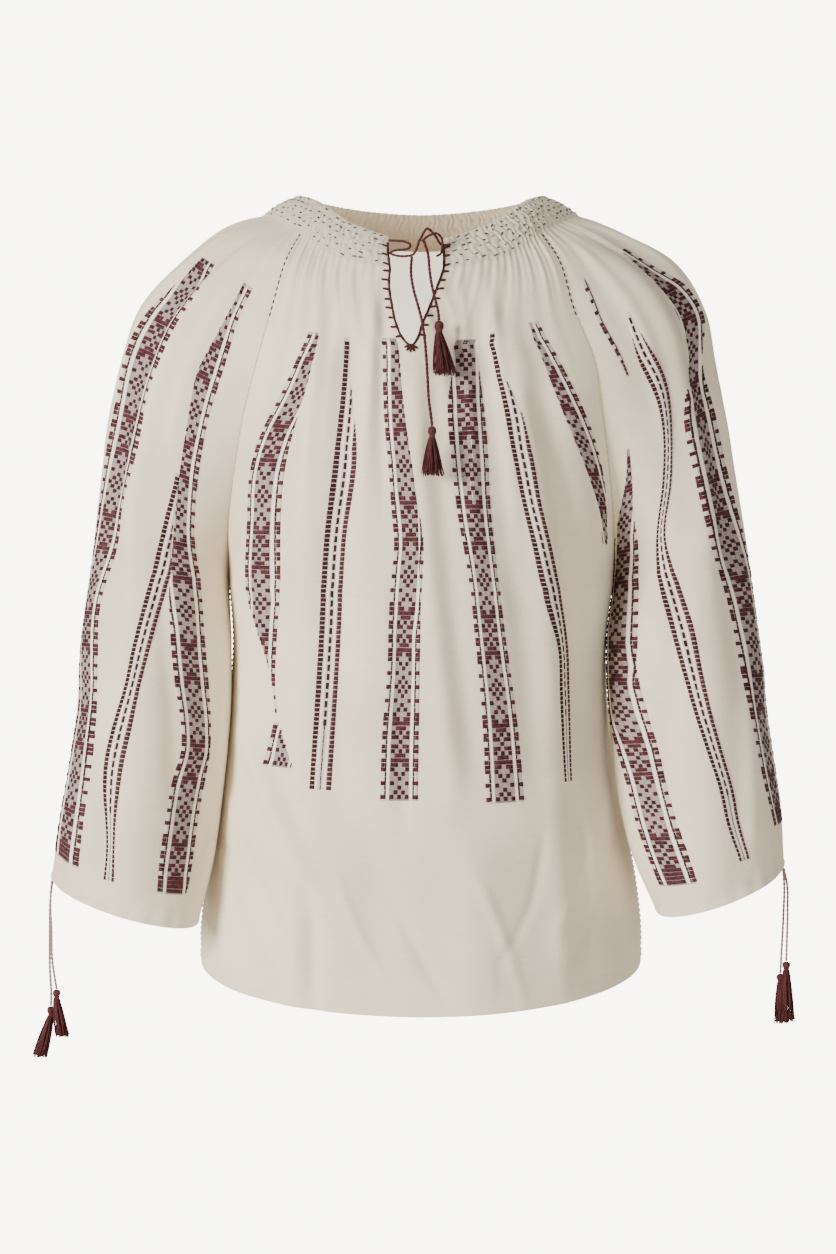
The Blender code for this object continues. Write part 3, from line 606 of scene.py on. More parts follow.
def sleeveRow(side, row, around):
    table = leftSleeve if side < 0 else rightSleeve
    crestX, crestZ, tilt, width, centreY, halfDepth, wrap = readTable(table, row)
    tilt, wrap = math.radians(tilt), math.radians(90 if row >= 1 else min(wrap, 90))
    reach = width / (1 + math.sin(wrap))
    outward = np.array((side * math.cos(tilt), 0, math.sin(tilt)))
    centre = np.array((side * crestX, centreY, crestZ)) - outward * reach
    angle = -wrap + np.asarray(around, float) * (math.pi + 2 * wrap)
    points = centre + outward * (reach * np.sin(angle))[..., None]
    points[..., 1] -= halfDepth * np.cos(angle)
    return points


def sideName(side):
    return "Left" if side < 0 else "Right"


def sleeveAngles(side, around):
    return blend(raglan["front" + sideName(side)], raglan["back" + sideName(side)], around)


def sleevePoint(side, row, around):
    around = np.asarray(around, float)
    points = sleeveRow(side, row, around)
    points = topEdgeShift(points, sleeveRow(side, 0.0, around), sleeveAngles(side, around), row)
    hang = ease((row - 1.5) / 0.5) * garment["cuffDip"]
    points[..., 2] -= hang * np.clip(np.sin(2 * math.pi * around), -0.5, 1)
    return points


def raglanPoint(side, row, behind):
    return sleeveRow(side, row, np.array([1.0 if behind else 0.0]))[0]


def bodyRow(row, behind, across):
    across = np.asarray(across, float)
    if row <= 1:
        frontY, frontZ, frontAngle, backY, backZ, backAngle = readTable(yokeBody, row)
        left, right = raglanPoint(-1, row, behind), raglanPoint(1, row, behind)
    else:
        leftX, rightX, sideY, sideZ, frontY, frontZ, backY, backZ = readTable(lowerBody, row)
        frontAngle = backAngle = 90
        left = np.array((leftX, sideY, sideZ))
        right = np.array((rightX, sideY, sideZ))
        # just below the armpits the sides still follow the sleeves' seams
        near = 1 - ease((row - 1) / 0.15)
        left += (raglanPoint(-1, 1.0, behind) - (lowerBody[0][1], *lowerBody[0][3:5])) * near
        right += (raglanPoint(1, 1.0, behind) - lowerBody[0][2:5]) * near
    middleY, middleZ = (backY, backZ) if behind else (frontY, frontZ)
    reach = math.radians(backAngle if behind else frontAngle)
    turn = across * reach
    outwards = np.sin(turn) / math.sin(reach)
    backwards = (1 - np.cos(turn)) / (1 - math.cos(reach))
    ends = np.where(across[..., None] < 0, left, right)
    points = np.empty(across.shape + (3,))
    points[..., 0] = np.abs(outwards) * ends[..., 0]
    points[..., 1] = blend(middleY, ends[..., 1], backwards)
    points[..., 2] = blend(middleZ, ends[..., 2], backwards)
    return points


def acrossOf(row, x):
    if row <= 1:
        reach = math.radians(readTable(yokeBody, row)[2])
        end = raglanPoint(-1 if x < 0 else 1, row, False)[0]
    else:
        reach = math.radians(90)
        end = readTable(lowerBody, row)[0 if x < 0 else 1]
    return math.asin(abs(x / end) * math.sin(reach)) / reach * (-1 if x < 0 else 1)


def halfFrontPoint(side, row, share):
    column = 0 if side < 0 or row >= garment["slitBottom"] else 1
    edge = readTable(slitEdges, row)[column]
    across = blend(side, acrossOf(row, edge), share)
    edgeAbove = readTable(slitEdges, 0.0)[0 if side < 0 else 1]
    top = bodyRow(0.0, False, blend(side, acrossOf(0.0, edgeAbove), share))
    return topEdgeShift(bodyRow(row, False, across), top, halfFrontAngles(side, share), row)


def halfFrontAngles(side, share):
    return blend(raglan["front" + sideName(side)], garment["slit" + sideName(side)][1], share)


def backAngles(share):
    return blend(raglan["backLeft"], raglan["backRight"], share)


def backPoint(row, share):
    across = 2 * share - 1
    return topEdgeShift(bodyRow(row, True, across), bodyRow(0.0, True, across), backAngles(share), row)


# Folds, listed one by one. The rows above "finer folds" are the folds of the solids.
frontFolds = (
    # height, half width, top x, top z, middle x, middle z, bottom x, bottom z
    (4.4, 12, -6, -135, 4, -270, 24, -470),
    (-3.0, 11, 10, -150, 20, -290, 40, -450),
    (-5.4, 13, -54, -110, -62, -250, -66, -470),
    (4.8, 12, -76, -110, -88, -250, -92, -430),
    (-5.4, 12, -98, -150, -112, -260, -120, -400),
    (-3.4, 15, 44, -110, 66, -250, 80, -450),
    (4.8, 12, 66, -110, 92, -240, 104, -430),
    (-5.4, 12, 88, -150, 112, -260, 124, -420),
    (5.0, 9, -140, -420, -112, -490, -84, -545),
    (-4.0, 7, -86, -545, -84, -590, -84, -640),
    (-4.2, 14, 118, -470, 126, -520, 132, -610),
    (4.2, 22, 40, -500, 44, -560, 46, -640),
    # finer folds
    (2.7, 5, -36, -80, -40, -150, -44, -230),
    (-2.4, 5, -28, -85, -30, -150, -30, -250),
    (2.5, 5, 30, -75, 36, -150, 40, -260),
    (-2.5, 6, 20, -90, 28, -170, 34, -260),
    (3.1, 6, 52, -75, 62, -160, 74, -260),
    (-2.7, 6, -66, -75, -76, -150, -82, -230),
    (2.4, 7, -114, -230, -124, -300, -128, -380),
    (2.7, 7, 100, -200, 118, -280, 126, -360),
    (-3.1, 8, -20, -300, -16, -400, -14, -500),
    (2.7, 9, 60, -300, 70, -380, 76, -460),
    (-3.4, 10, -130, -350, -118, -430, -96, -500),
    (3.1, 10, -104, -520, -98, -570, -98, -640),
    (-3.0, 6, 118, -470, 124, -500, 131, -530),
    (2.5, 6, 128, -480, 134, -520, 138, -560),
    (-2.7, 16, -40, -500, -36, -570, -34, -640),
    (3.1, 12, 104, -440, 108, -520, 112, -620),
    (-3.1, 10, 146, -420, 152, -500, 156, -600),
    (2.7, 12, -150, -470, -146, -540, -144, -620),
    # crumples above the hem
    (1.9, 4.5, -152, -470, -126, -540, -100, -590),
    (-1.8, 4, -158, -500, -134, -566, -110, -612),
    (1.7, 5, -70, -520, -52, -570, -30, -612),
    (-1.6, 5, -24, -545, -4, -590, 18, -628),
    (1.8, 5, 156, -450, 134, -520, 106, -575),
    (-1.9, 4.5, 160, -490, 142, -560, 118, -606),
    (1.6, 5, 40, -530, 62, -580, 78, -626),
    (-1.6, 4, 96, -500, 84, -560, 60, -604),
)
backFolds = (
    # the same columns
    (5.4, 12, -18, -80, -24, -260, -34, -500),
    (-5.4, 13, 4, -80, 4, -270, 2, -500),
    (5.4, 12, 26, -80, 34, -260, 44, -500),
    (-5.4, 14, -48, -90, -62, -260, -74, -470),
    (-5.4, 14, 54, -90, 70, -260, 84, -470),
    (4.8, 14, -76, -110, -98, -270, -112, -470),
    (4.8, 14, 82, -110, 104, -270, 118, -470),
    (-4.2, 18, -40, -480, -38, -560, -36, -630),
    (-4.2, 18, 70, -480, 76, -560, 80, -630),
    # finer folds
    (2.7, 6, -8, -60, -10, -160, -14, -280),
    (-2.5, 6, 14, -60, 16, -160, 20, -260),
    (2.7, 6, 40, -60, 50, -160, 58, -260),
    (-2.7, 7, -34, -60, -42, -170, -50, -300),
    (2.7, 7, -60, -60, -76, -180, -88, -300),
    (2.7, 9, 12, -420, 16, -520, 20, -630),
    (-3.1, 10, -96, -400, -104, -500, -108, -610),
    (3.1, 12, -128, -440, -136, -520, -140, -610),
    (-3.1, 10, 120, -380, 128, -470, 134, -600),
)
sleeveFolds = (
    # height, half width, top place, top row, bottom place, bottom row
    (5.4, 0.045, 0.16, 0.10, 0.30, 0.95),
    (-4.8, 0.040, 0.26, 0.12, 0.38, 1.30),
    (-4.8, 0.045, 0.44, 0.08, 0.52, 1.10),
    (4.8, 0.040, 0.60, 0.10, 0.62, 1.20),
    (-4.8, 0.045, 0.74, 0.12, 0.68, 1.10),
    (4.8, 0.040, 0.86, 0.10, 0.76, 1.00),
    (-5.4, 0.060, 0.16, 1.10, 0.12, 1.75),
    (4.8, 0.050, 0.30, 1.20, 0.24, 1.90),
    (-4.8, 0.060, 0.84, 1.10, 0.90, 1.80),
    (-3.6, 0.050, 0.46, 1.30, 0.44, 1.95),
    # finer folds
    (2.7, 0.020, 0.10, 0.05, 0.16, 0.60),
    (-2.5, 0.018, 0.21, 0.05, 0.27, 0.60),
    (2.7, 0.020, 0.33, 0.05, 0.40, 0.70),
    (-2.7, 0.020, 0.52, 0.05, 0.58, 0.60),
    (2.7, 0.020, 0.67, 0.05, 0.66, 0.60),
    (-3.1, 0.024, 0.24, 1.00, 0.18, 1.60),
    (3.1, 0.024, 0.40, 1.15, 0.34, 1.80),
    (3.1, 0.026, 0.60, 1.20, 0.62, 1.90),
    (-3.1, 0.026, 0.72, 1.20, 0.76, 1.90),
)
# How a fold fades: millimetres past its top and its bottom, and over how many it does so.
foldFade = {"top": (15, 45), "bottom": (45, 90), "panelEdge": 0.12, "sleeveEdge": 0.1}
# Pleats drawn in by the smocking, each with its own height and length.
pleats = (
    # pitch in degrees, height, shortest and longest run in rows, start number
    (3.0, 1.0, 0.10, 0.30, 0),
    (6.6, 1.25, 0.28, 0.95, 40),
)


def bodyFolds(points, folds):
    lift = np.zeros(points.shape[:-1])
    x, z = points[..., 0], points[..., 2]
    (above, topRun), (below, bottomRun) = foldFade["top"], foldFade["bottom"]
    for height, halfWidth, topX, topZ, middleX, middleZ, bottomX, bottomZ in folds:
        line = smooth((bottomZ, middleZ, topZ), (bottomX, middleX, topX), z)
        strength = ease((topZ + above - z) / topRun) * ease((z - bottomZ + below) / bottomRun)
        lift += height * strength * np.exp(-(((x - line) / halfWidth) ** 2))
    return lift


def sleeveLift(rows, around):
    lift = np.zeros((len(rows), len(around)))
    for height, halfWidth, top, topRow, bottom, bottomRow in sleeveFolds:
        share = (rows[:, None] - topRow) / (bottomRow - topRow)
        middle = blend(top, bottom, share)
        strength = ease(share / 0.25 + 0.2) * ease((1.2 - share) / 0.3)
        lift += height * strength * np.exp(-(((around - middle) / halfWidth) ** 2))
    for share in (around, 1 - around):
        lift = lift * ease(share / foldFade["sleeveEdge"])
    return lift


def seamDistance(angles):
    # degrees to the nearest seam or slit edge, along the neck
    places = (*raglan.values(), garment["slitLeft"][1], garment["slitRight"][1])
    return np.min([np.abs(angles - place) for place in places], axis=0)


def pleatLift(rows, angles):
    lift = np.zeros((len(rows), len(angles)))
    down = rows[:, None]
    for pitch, height, shortest, longest, first in pleats:
        number = np.floor(angles / pitch) + first
        run = blend(shortest, longest, uneven(number))
        tall = height * varied(number + 0.5, 0.55)
        wave = 0.5 - 0.5 * np.cos(2 * math.pi * angles / pitch)
        # the smocking's own pleats start at the band's edge, the wider ones a little below
        start = 1 if first == 0 else ease(down / 0.05)
        lift += tall * wave * (1 - ease(down / run)) * start
    return lift * ease(seamDistance(angles) / 2.0)


def gridNormals(points, sign):
    return unit(np.cross(np.gradient(points, axis=0), np.gradient(points, axis=1)) * sign)


# The grid's rows: closest near the smocking. From, to and number of steps.
rowSpans = ((0, 0.3, 42), (0.3, 1, 75), (1, 2, 111))


def clothRows():
    rows = np.concatenate([[0.0]] + [np.linspace(first, last, steps + 1)[1:]
                                     for first, last, steps in rowSpans])
    rows[np.argmin(np.abs(rows - garment["slitBottom"]))] = garment["slitBottom"]
    return rows


rows = clothRows()
slitRow = int(np.where(rows == garment["slitBottom"])[0][0])
armpitRow = int(np.argmin(np.abs(rows - 1)))


# A panel's cloth: a grid of outer points, with its flat coordinates.
class Cloth:
    def __init__(self, points, normals, sign, index=None, skip=slice(0, 0)):
        # sign is the side that faces out; skip names columns of cells that are left open
        self.points = points
        self.normals = normals
        self.index = gridIndex(points) if index is None else index
        self.skip = skip
        self.sign = sign
        self.down = travel(points)
        middle = len(rows) * 2 // 3 if len(points) == len(rows) else len(points) // 2
        self.across = np.tile(travel(points[middle]), (len(points), 1))

    def at(self, values, row, column):
        row = np.clip(row, 0, values.shape[0] - 1.001)
        column = np.clip(column, 0, values.shape[1] - 1.001)
        i, j = row.astype(int), column.astype(int)
        s, t = (row - i)[..., None], (column - j)[..., None]
        return (values[i, j] * (1 - s) * (1 - t) + values[i + 1, j] * s * (1 - t)
                + values[i, j + 1] * (1 - s) * t + values[i + 1, j + 1] * s * t)

    def place(self, row, column, lift):
        lift = np.asarray(lift, float)[..., None]
        return self.at(self.points, row, column) + self.at(self.normals, row, column) * lift

    def seen(self):
        # where each point lies for the camera, on the plane through the garment's middle
        nearer = view["distance"] / (view["distance"] + self.points[..., 1])
        return [blend(view[middle], self.points[..., axis], nearer)
                for axis, middle in ((0, "sideways"), (2, "height"))]

    def wall(self, name, outside, inside=None):
        # a closed wall: the outer grid, the inner grid and a rim along each free edge
        outer = self.points.reshape(-1, 3)
        inner = (self.points - self.normals * garment["thickness"]).reshape(-1, 3)
        used, compact = np.unique(self.index, return_inverse=True)
        index = compact.reshape(self.index.shape)
        count = len(used)
        points = np.concatenate((outer[used], inner[used]))
        flat = np.stack((self.across, self.down), -1) * mm
        keep = np.ones((index.shape[0] - 1, index.shape[1] - 1), bool)
        keep[:, self.skip] = False
        quads = gridCorners(index)[keep]
        cloth = gridCorners(flat)[keep]
        if self.sign < 0:
            quads, cloth = quads[:, ::-1], cloth[:, ::-1]
        # an edge is free where no other face runs along it the other way
        starts = quads.ravel().astype(np.int64)
        ends = np.roll(quads, -1, axis=1).ravel().astype(np.int64)
        free = ~np.isin(starts * count + ends, ends * count + starts)
        a, b = starts[free], ends[free]
        rim = np.stack((b, a, a + count, b + count), -1)
        rimCloth = np.repeat(cloth.reshape(-1, 1, 2)[free], 4, axis=1)
        faces = np.concatenate((quads, quads[:, ::-1] + count, rim))
        cloths = np.concatenate((cloth, cloth[:, ::-1], rimCloth))
        marks = np.concatenate((np.zeros(len(quads)), np.ones(len(quads)), np.zeros(len(rim)))).astype(int)
        made = meshPiece(name, points, faces.tolist(), outside, cloths, marks, (inside or outside,))
        made.data.set_sharp_from_angle(angle=math.radians(60))
        return made


def hemLift(down, width, height):
    # the turned hem: a slightly raised strip with the groove of its stitch line
    left = down[-1] - down
    strip = ease((width - left) / 1.5 + 0.5)
    groove = np.exp(-(((left - width + 0.6) / 0.9) ** 2))
    return height * strip - 0.6 * groove


def cuffPucker(down):
    # small gathers that the drawcord pulls into the sleeve's end
    left = down[-1] - down
    column = np.arange(down.shape[1])
    pucker = np.sin(column * 1.15) * (0.35 + 0.3 * uneven(np.floor(column / 5)))
    return pucker * np.exp(-(left / 14) ** 2) * ease(left / 3 + 0.3)


def lifted(points, sign, lift):
    return points + gridNormals(points, sign) * lift[..., None]


def makeForms():
    forms = {}
    halves = {}
    for side in (-1, 1):
        shares = np.linspace(0, 1, garment["halfFrontColumns"] + 1)
        points = np.array([halfFrontPoint(side, row, shares) for row in rows])
        lift = bodyFolds(points, frontFolds) * ease(shares / foldFade["panelEdge"])
        lift += pleatLift(rows, halfFrontAngles(side, shares))
        halves[side] = lifted(points, -side, lift)
    middle = (halves[-1][slitRow:, -1] + halves[1][slitRow:, -1]) / 2
    halves[-1][slitRow:, -1] = halves[1][slitRow:, -1] = middle
    points = np.concatenate((halves[-1], halves[1][:, ::-1]), axis=1)
    normals = np.concatenate((gridNormals(halves[-1], 1), gridNormals(halves[1], -1)[:, ::-1]), axis=1)
    half = garment["halfFrontColumns"]
    shared = unit(normals[slitRow:, half] + normals[slitRow:, half + 1])
    normals[slitRow:, half] = normals[slitRow:, half + 1] = shared
    index = gridIndex(points)
    index[slitRow:, half + 1] = index[slitRow:, half]
    forms["front"] = Cloth(points, normals, 1, index, half)

    shares = np.linspace(0, 1, garment["backColumns"] + 1)
    points = np.array([backPoint(row, shares) for row in rows])
    lift = bodyFolds(points, backFolds)
    for share in (shares, 1 - shares):
        lift = lift * ease(share / foldFade["panelEdge"])
    points = lifted(points, -1, lift + pleatLift(rows, backAngles(shares)))
    forms["back"] = Cloth(points, gridNormals(points, -1), -1)

    for side in (-1, 1):
        around = np.linspace(0, 1, garment["sleeveColumns"] + 1)
        points = np.array([sleevePoint(side, row, around) for row in rows])
        points = lifted(points, side, sleeveLift(rows, around) + pleatLift(rows, sleeveAngles(side, around)))
        normals = gridNormals(points, side)
        # below the armpit the sleeve is a tube, closed along the seam under the arm
        tube = normals[armpitRow + 1:]
        tube[:, 0] = tube[:, -1] = unit(tube[:, 0] + tube[:, -1])
        index = gridIndex(points)
        index[armpitRow:, -1] = index[armpitRow:, 0]
        forms["sleeve" + sideName(side)] = Cloth(points, normals, side, index)
    for name, cloth in forms.items():
        onSleeve = name.startswith("sleeve")
        lift = hemLift(cloth.down, garment["cuffHemWidth" if onSleeve else "hemWidth"], garment["hemHeight"])
        if onSleeve:
            lift = lift + cuffPucker(cloth.down)
        cloth.points += cloth.normals * lift[..., None]
    return forms


def collarAngles(share):
    ends = (blend(*garment[edge], share) for edge in ("slitLeft", "slitRight"))
    return np.linspace(*ends, garment["collarColumns"] + 1)


smocking = {"rowsOfStitches": 5, "height": 1.35, "pinch": 0.5, "zigzag": 0.42, "drift": 0.22}


def makeCollarForm():
    shares = np.linspace(0, 1, garment["collarRows"] + 1)
    angles = np.array([collarAngles(share) for share in shares])
    points = np.array([neckPoint(turns, np.full(len(turns), share)) for turns, share in zip(angles, shares)])
    normals = gridNormals(points, -1)
    pitch = pleats[0][0]
    zig = 0.5 - 0.5 * np.cos(2 * math.pi * (1 - shares) * smocking["rowsOfStitches"] / 2)
    places = angles / pitch + smocking["zigzag"] * zig[:, None]
    places += smocking["drift"] * np.sin(angles * 0.83 + shares[:, None] * 9)
    wave = 0.5 - 0.5 * np.cos(2 * math.pi * places)
    number = np.floor(places)
    tall = smocking["height"] * varied(number + 0.5, 0.55)
    pinch = 1 - smocking["pinch"] * (0.5 + 0.5 * np.cos(2 * math.pi * shares * smocking["rowsOfStitches"]))
    edge = ease(np.minimum(angles - angles[:, :1], angles[:, -1:] - angles) / 2.0)
    # towards its lower edge the band's gathers turn into the panels' pleats
    fade = ease((shares - 0.85) / 0.15)[:, None]
    lift = tall * wave * pinch[:, None] * edge * (1 - fade)
    lift += pleatLift(np.zeros(1), angles[-1])[0] * fade
    points = points + normals * lift[..., None]
    # softened normals, so that the inner side keeps clear of itself between the pleats
    return Cloth(points, unit(gridNormals(points, -1) * 0.35 + normals * 0.65), -1)


def cottonFinish(name, light, shade, crinkle):
    made = Finish(name, 0.9, 0.08)
    cloth = made.along()
    slub = made.noise(cloth, 420, 3, (0.25, 1.6, 1))
    warp = made.noise(cloth, 520, 3, (1.8, 0.2, 1))
    cloud = made.noise(made.place(), 9, 3)
    tone = (cloud * 0.7 + slub * 0.3).between(0.5, 2, 0.22)
    made.colour(made.mix(tone, shade, light))
    grain = made.noise(cloth, 1500, 2)
    made.bump(slub * 0.5 + warp * 0.5 + grain * crinkle, 0.45, 0.55)
    return made


creamCotton = cottonFinish("creamCotton", (0.765, 0.66, 0.485), (0.625, 0.53, 0.395), 0.5)
smockedCotton = cottonFinish("smockedCotton", (0.70, 0.62, 0.475), (0.53, 0.462, 0.345), 0.9)
insideCotton = cottonFinish("insideCotton", (0.71, 0.63, 0.50), (0.55, 0.47, 0.355), 0.8)
# painted glow: a paler colour and an emission on the back panel's inside stand in for daylight showing
# through the single back layer and lighten its shaded inside
paintedGlowCotton = cottonFinish("paintedGlowCotton", (0.80, 0.74, 0.62), (0.74, 0.68, 0.57), 0.4)
# painted glow: this emission is painted light on the cloth, not a lamp
paintedGlowCotton.surface.inputs["Emission Color"].default_value = (1.0, 0.95, 0.84, 1)
paintedGlowCotton.surface.inputs["Emission Strength"].default_value = 1.2

forms = makeForms()
collarForm = makeCollarForm()
panels = {
    # solid's node, name of the form, width and length of its cut, its area
    "front_panel": ("front", 0.56, 0.64, 0.26),
    "back_panel": ("back", 0.56, 0.66, 0.27),
    "sleeve_left": ("sleeveLeft", 0.42, 0.62, 0.21),
    "sleeve_right": ("sleeveRight", 0.42, 0.62, 0.21),
}


def makePanels():
    made = {}
    for node, (form, *_) in panels.items():
        # the back panel's inside takes the painted glow
        inside = paintedGlowCotton if form == "back" else None
        made[node] = forms[form].wall(node.replace("_", "."), creamCotton, inside)
    made["smocked_collar"] = collarForm.wall("smocked.collar", smockedCotton, insideCotton)
    for node, piece in made.items():
        settle(piece, "cream_cotton", node)
    return made


pieces = makePanels()
print("panels made")


# The woven bands' measures.
weave = {
    "rowPitch": 3.56,
    "wide": 31.5,
    "narrow": 17.0,
    "centreStart": 7.9,
    "centreStep": 3.14,
    "sideBlock": 3.4,
    "sideLine": 1.5,
    "barReach": 0.475,
    "unevenness": 0.3,
    "blockHeight": 0.42,
    "dotSpread": 0.14,
    "foot": 1.1,
    "groundLift": 0.22,
    "groundDepth": 0.3,
    "groundStep": 4.5,
    "taper": 0.84,
    "inset": (0.2, 0.14),
    "shortestBar": 0.35,
    "barLift": 0.1,
    "dotPlace": 6.5,
    "dotWidth": 4.0,
    "dashWidth": 2.3,
    "dashLength": 5.4,
    "dashPitch": 7.12,
    "lineEnd": 52.0,
    "endLineWidth": 1.1,
    "lastChartRow": 3,
    "sleevePitch": 3.3,
    "sleeveLastRow": 22,
    "sleeveFoot": (3, 18),
    "whiteLine": (4.9, 7.3),
    "narrowLine": (4.6, 6.4),
    "narrowShift": 100,
}
# One repeat of the wide band's middle zone: X is a woven bar.
chart = (
    "..X..", ".X.X.", "X.X.X", ".X.X.", "..X..", "X...X", "..X..", ".X.X.",
    "X...X", "XX.XX", "XXXXX", ".XXX.", "X.X.X", "XX.XX", "..X..", "XX.XX",
    "X.X.X", ".XXX.", "XXXXX", "XX.XX", "X...X", ".X.X.", "..X..", "X...X",
)
# The chart's rows with a solid block at each edge of the band.
sideRows = (3, 6, 9, 10, 11, 13, 14, 16, 17, 19, 20, 21, 24)

# Each band's rows run from its top. Columns: height, left edge and right edge as the camera
# sees them on the plane through the garment's middle, then from where to where the band's
# width shows, because folds hide the rest. Rows without the last two show all of it.
frontBands = {
    "outerLeft": ("wide", (
        (-104, -88.8, -80.8, 0, 9), (-128, -100, -86.4, 0, 17), (-148, -108.8, -91, 0, 22),
        (-168, -119, -96.8, 0, 26), (-184, -127, -101.6, 0, 30), (-216, -136.8, -109),
        (-256, -139, -112), (-320, -138.4, -112.8), (-340, -132.8, -114.4, 10, 31.5),
        (-364, -124.8, -116, 21, 31.5), (-392, -118.4, -116.6, 28.5, 31.5),
        (-414, -115.9, -114.4, 29.5, 31.5))),
    "outerLeftEnd": ("wide", (
        (-415, -116.8, -114.4, 0, 3), (-432, -121.6, -109.6, 0, 15), (-456, -128, -101.6))),
    "narrowLeft": ("narrow", (
        (-109.6, -61.2, -57.1, 0, 4), (-140, -62.8, -56.8, 0, 6), (-170, -65.6, -53.6, 0, 12),
        (-197.6, -68.8, -51.2), (-272, -77.6, -60), (-360, -82.4, -64.8), (-473.6, -89.6, -72))),
    "innerLeft": ("wide", (
        (-109.6, -31.6, -19.2, 0, 13), (-172.8, -29.6, -12.8, 0, 20), (-210.8, -26.4, -7.2, 0, 23),
        (-246.4, -24, -2, 0, 26), (-274.4, -21.6, 2, 0, 29.5), (-300, -23.6, 1.6),
        (-325.6, -25.6, 0), (-376.8, -27.2, -0.8), (-427.2, -31.2, -1.6), (-483.2, -33.2, -2.4))),
    "innerRight": ("wide", (
        (-111.2, 27.2, 43.2, 7, 24), (-136.8, 24.8, 46.4, 5.5, 27), (-160, 21.2, 49.6, 0, 30),
        (-197.6, 23.2, 53.6), (-248.8, 28.8, 56), (-300, 37.6, 61.6), (-351.2, 43.2, 68),
        (-415.2, 48.8, 76.8), (-484.8, 52, 83.2))),
    "narrowRight": ("narrow", (
        (-104.8, 54.4, 58.4, 0, 3), (-133.6, 58.4, 62.4, 0, 4), (-160, 64.8, 76.8, 0, 12),
        (-197.6, 72, 88), (-248.8, 82.4, 97.6), (-272, 88, 103.2), (-323.2, 99.2, 112.8),
        (-358.4, 109.6, 117.6), (-394.4, 111, 118.6), (-468, 115, 120.4))),
    "outerRight": ("wide", (
        (-96, 84.8, 92.8, 21, 31.5), (-140, 101.6, 116.8, 15, 31.5), (-184, 119.2, 136.8, 11, 31.5),
        (-224, 135.2, 146.4, 8, 30), (-256, 143.2, 148.5, 5, 20), (-278, 145.6, 149, 4, 10))),
}
leftSleeveBands = {
    "outer": ("wide", (
        (-48, -171, -163, 14, 31.5), (-82, -212, -184, 2, 31.5), (-103, -228.8, -197.6),
        (-119, -236, -204.8), (-156, -243.2, -218.8), (-193, -250.4, -225), (-248, -257.6, -239.2),
        (-272, -260.8, -241.6), (-326, -265, -256.8), (-368, -269, -258.4), (-421.6, -276.8, -260),
        (-465, -284, -264.8), (-497, -289.6, -269.6), (-529, -293.6, -273.6))),
    "front": ("wide", (
        (-68, -142.4, -132.8, 21, 31.5), (-93.6, -156, -145.6, 19, 31.5),
        (-116, -168, -152, 15, 31.5), (-137.6, -179.2, -158.4, 10, 31.5),
        (-160, -184, -165.6, 11, 31.5), (-184, -188, -172, 12, 31.5),
        (-209.6, -192, -176.4, 15, 31.5), (-272, -198.4, -180.8, 12, 31.5),
        (-315.2, -201.6, -175.2, 4, 31.5), (-347.2, -200.8, -173.2), (-389.6, -196.8, -169.6),
        (-421.6, -192, -168, 0, 30), (-441.6, -192, -168.8, 0, 29), (-460.8, -198.4, -172),
        (-486.4, -203.2, -176.8), (-512, -207.2, -180.4), (-537.6, -210.4, -184),
        (-556, -211.2, -188, 0, 28))),
    "narrow": ("narrow", (
        (-216.8, -195.2, -192.4, 0, 3), (-266.4, -208, -199, 0, 9), (-304, -217.2, -201.6),
        (-332, -224.8, -209.6), (-361.6, -232, -217.6), (-389.6, -237.6, -224.8),
        (-421.6, -247.2, -231.2), (-449.6, -253.6, -237.6), (-475.2, -254.4, -241.6),
        (-496.8, -252.4, -244.2), (-518.4, -251.6, -245.2), (-545, -254.2, -245.6))),
}
rightSleeveBands = {
    "outer": ("wide", (
        (-38.4, 156.8, 161.6, 25, 31.5), (-56, 176.8, 184, 18, 31.5), (-71, 192, 208.8, 8, 31.5),
        (-88, 203.2, 221.6, 4, 31.5), (-106.4, 210.4, 224.8, 6, 31.5), (-131, 215.2, 221.6, 16, 26),
        (-155, 212, 232.4), (-170, 209.6, 235.6), (-187, 211.2, 238.8), (-220, 218.4, 245.6),
        (-272, 230.4, 259.2), (-325.6, 246, 268.8), (-379, 256, 275.2), (-421.6, 265.2, 280.8),
        (-465, 274, 285.6), (-501.6, 283, 288.8, 0, 24))),
    "narrow": ("narrow", (
        (-88, 163.2, 165.6, 7, 10), (-114, 169.6, 180, 3, 14), (-130, 174, 190.4),
        (-143, 180.8, 196), (-160, 188.4, 199.4), (-183, 193.2, 200.8), (-224, 193.2, 200.6),
        (-272, 188, 195.6), (-304, 189.6, 205.6), (-342, 199.2, 218.4), (-375, 208.4, 224.8),
        (-414, 219.6, 233.6), (-443, 229.2, 241.6), (-474, 239.2, 250.4), (-497, 244, 254.4),
        (-529, 255.2, 263.6))),
    "innerTop": ("wide", (
        (-61.6, 126.4, 130.4, 0, 5), (-79, 134.4, 138.4, 0, 5), (-98, 141.6, 145.6, 0, 5),
        (-115, 151.2, 155.2, 0, 5), (-143, 166.4, 168, 0, 3))),
    "inner": ("wide", (
        (-197, 164.8, 166.4, 14, 17), (-224, 164, 168.8, 12, 18), (-256, 157.6, 170.4, 8, 26),
        (-272, 155.2, 173.6, 4, 31.5), (-298, 152, 174.4), (-326, 148.8, 174.4),
        (-354, 146.4, 173.6), (-373, 147.2, 172, 0, 28), (-388, 148.8, 175.2), (-418, 151.2, 184),
        (-439, 156.4, 190.4), (-469, 164.8, 196.8), (-497, 171.2, 204.8), (-522, 180, 213.6),
        (-549, 191.2, 222.4))),
}
# Bands on the sides that the camera doesn't see: place across the panel, first and last row.
backBands = (
    ("wide", 0.10, 0.24, 1.40), ("narrow", 0.245, 0.22, 1.50), ("wide", 0.40, 0.20, 1.55),
    ("wide", 0.60, 0.20, 1.55), ("narrow", 0.755, 0.22, 1.50), ("wide", 0.90, 0.24, 1.40),
)
sleeveBackBands = (
    ("wide", 0.62, 0.12, 1.90),
    ("narrow", 0.745, 0.14, 1.90),
    ("wide", 0.87, 0.16, 1.90),
)


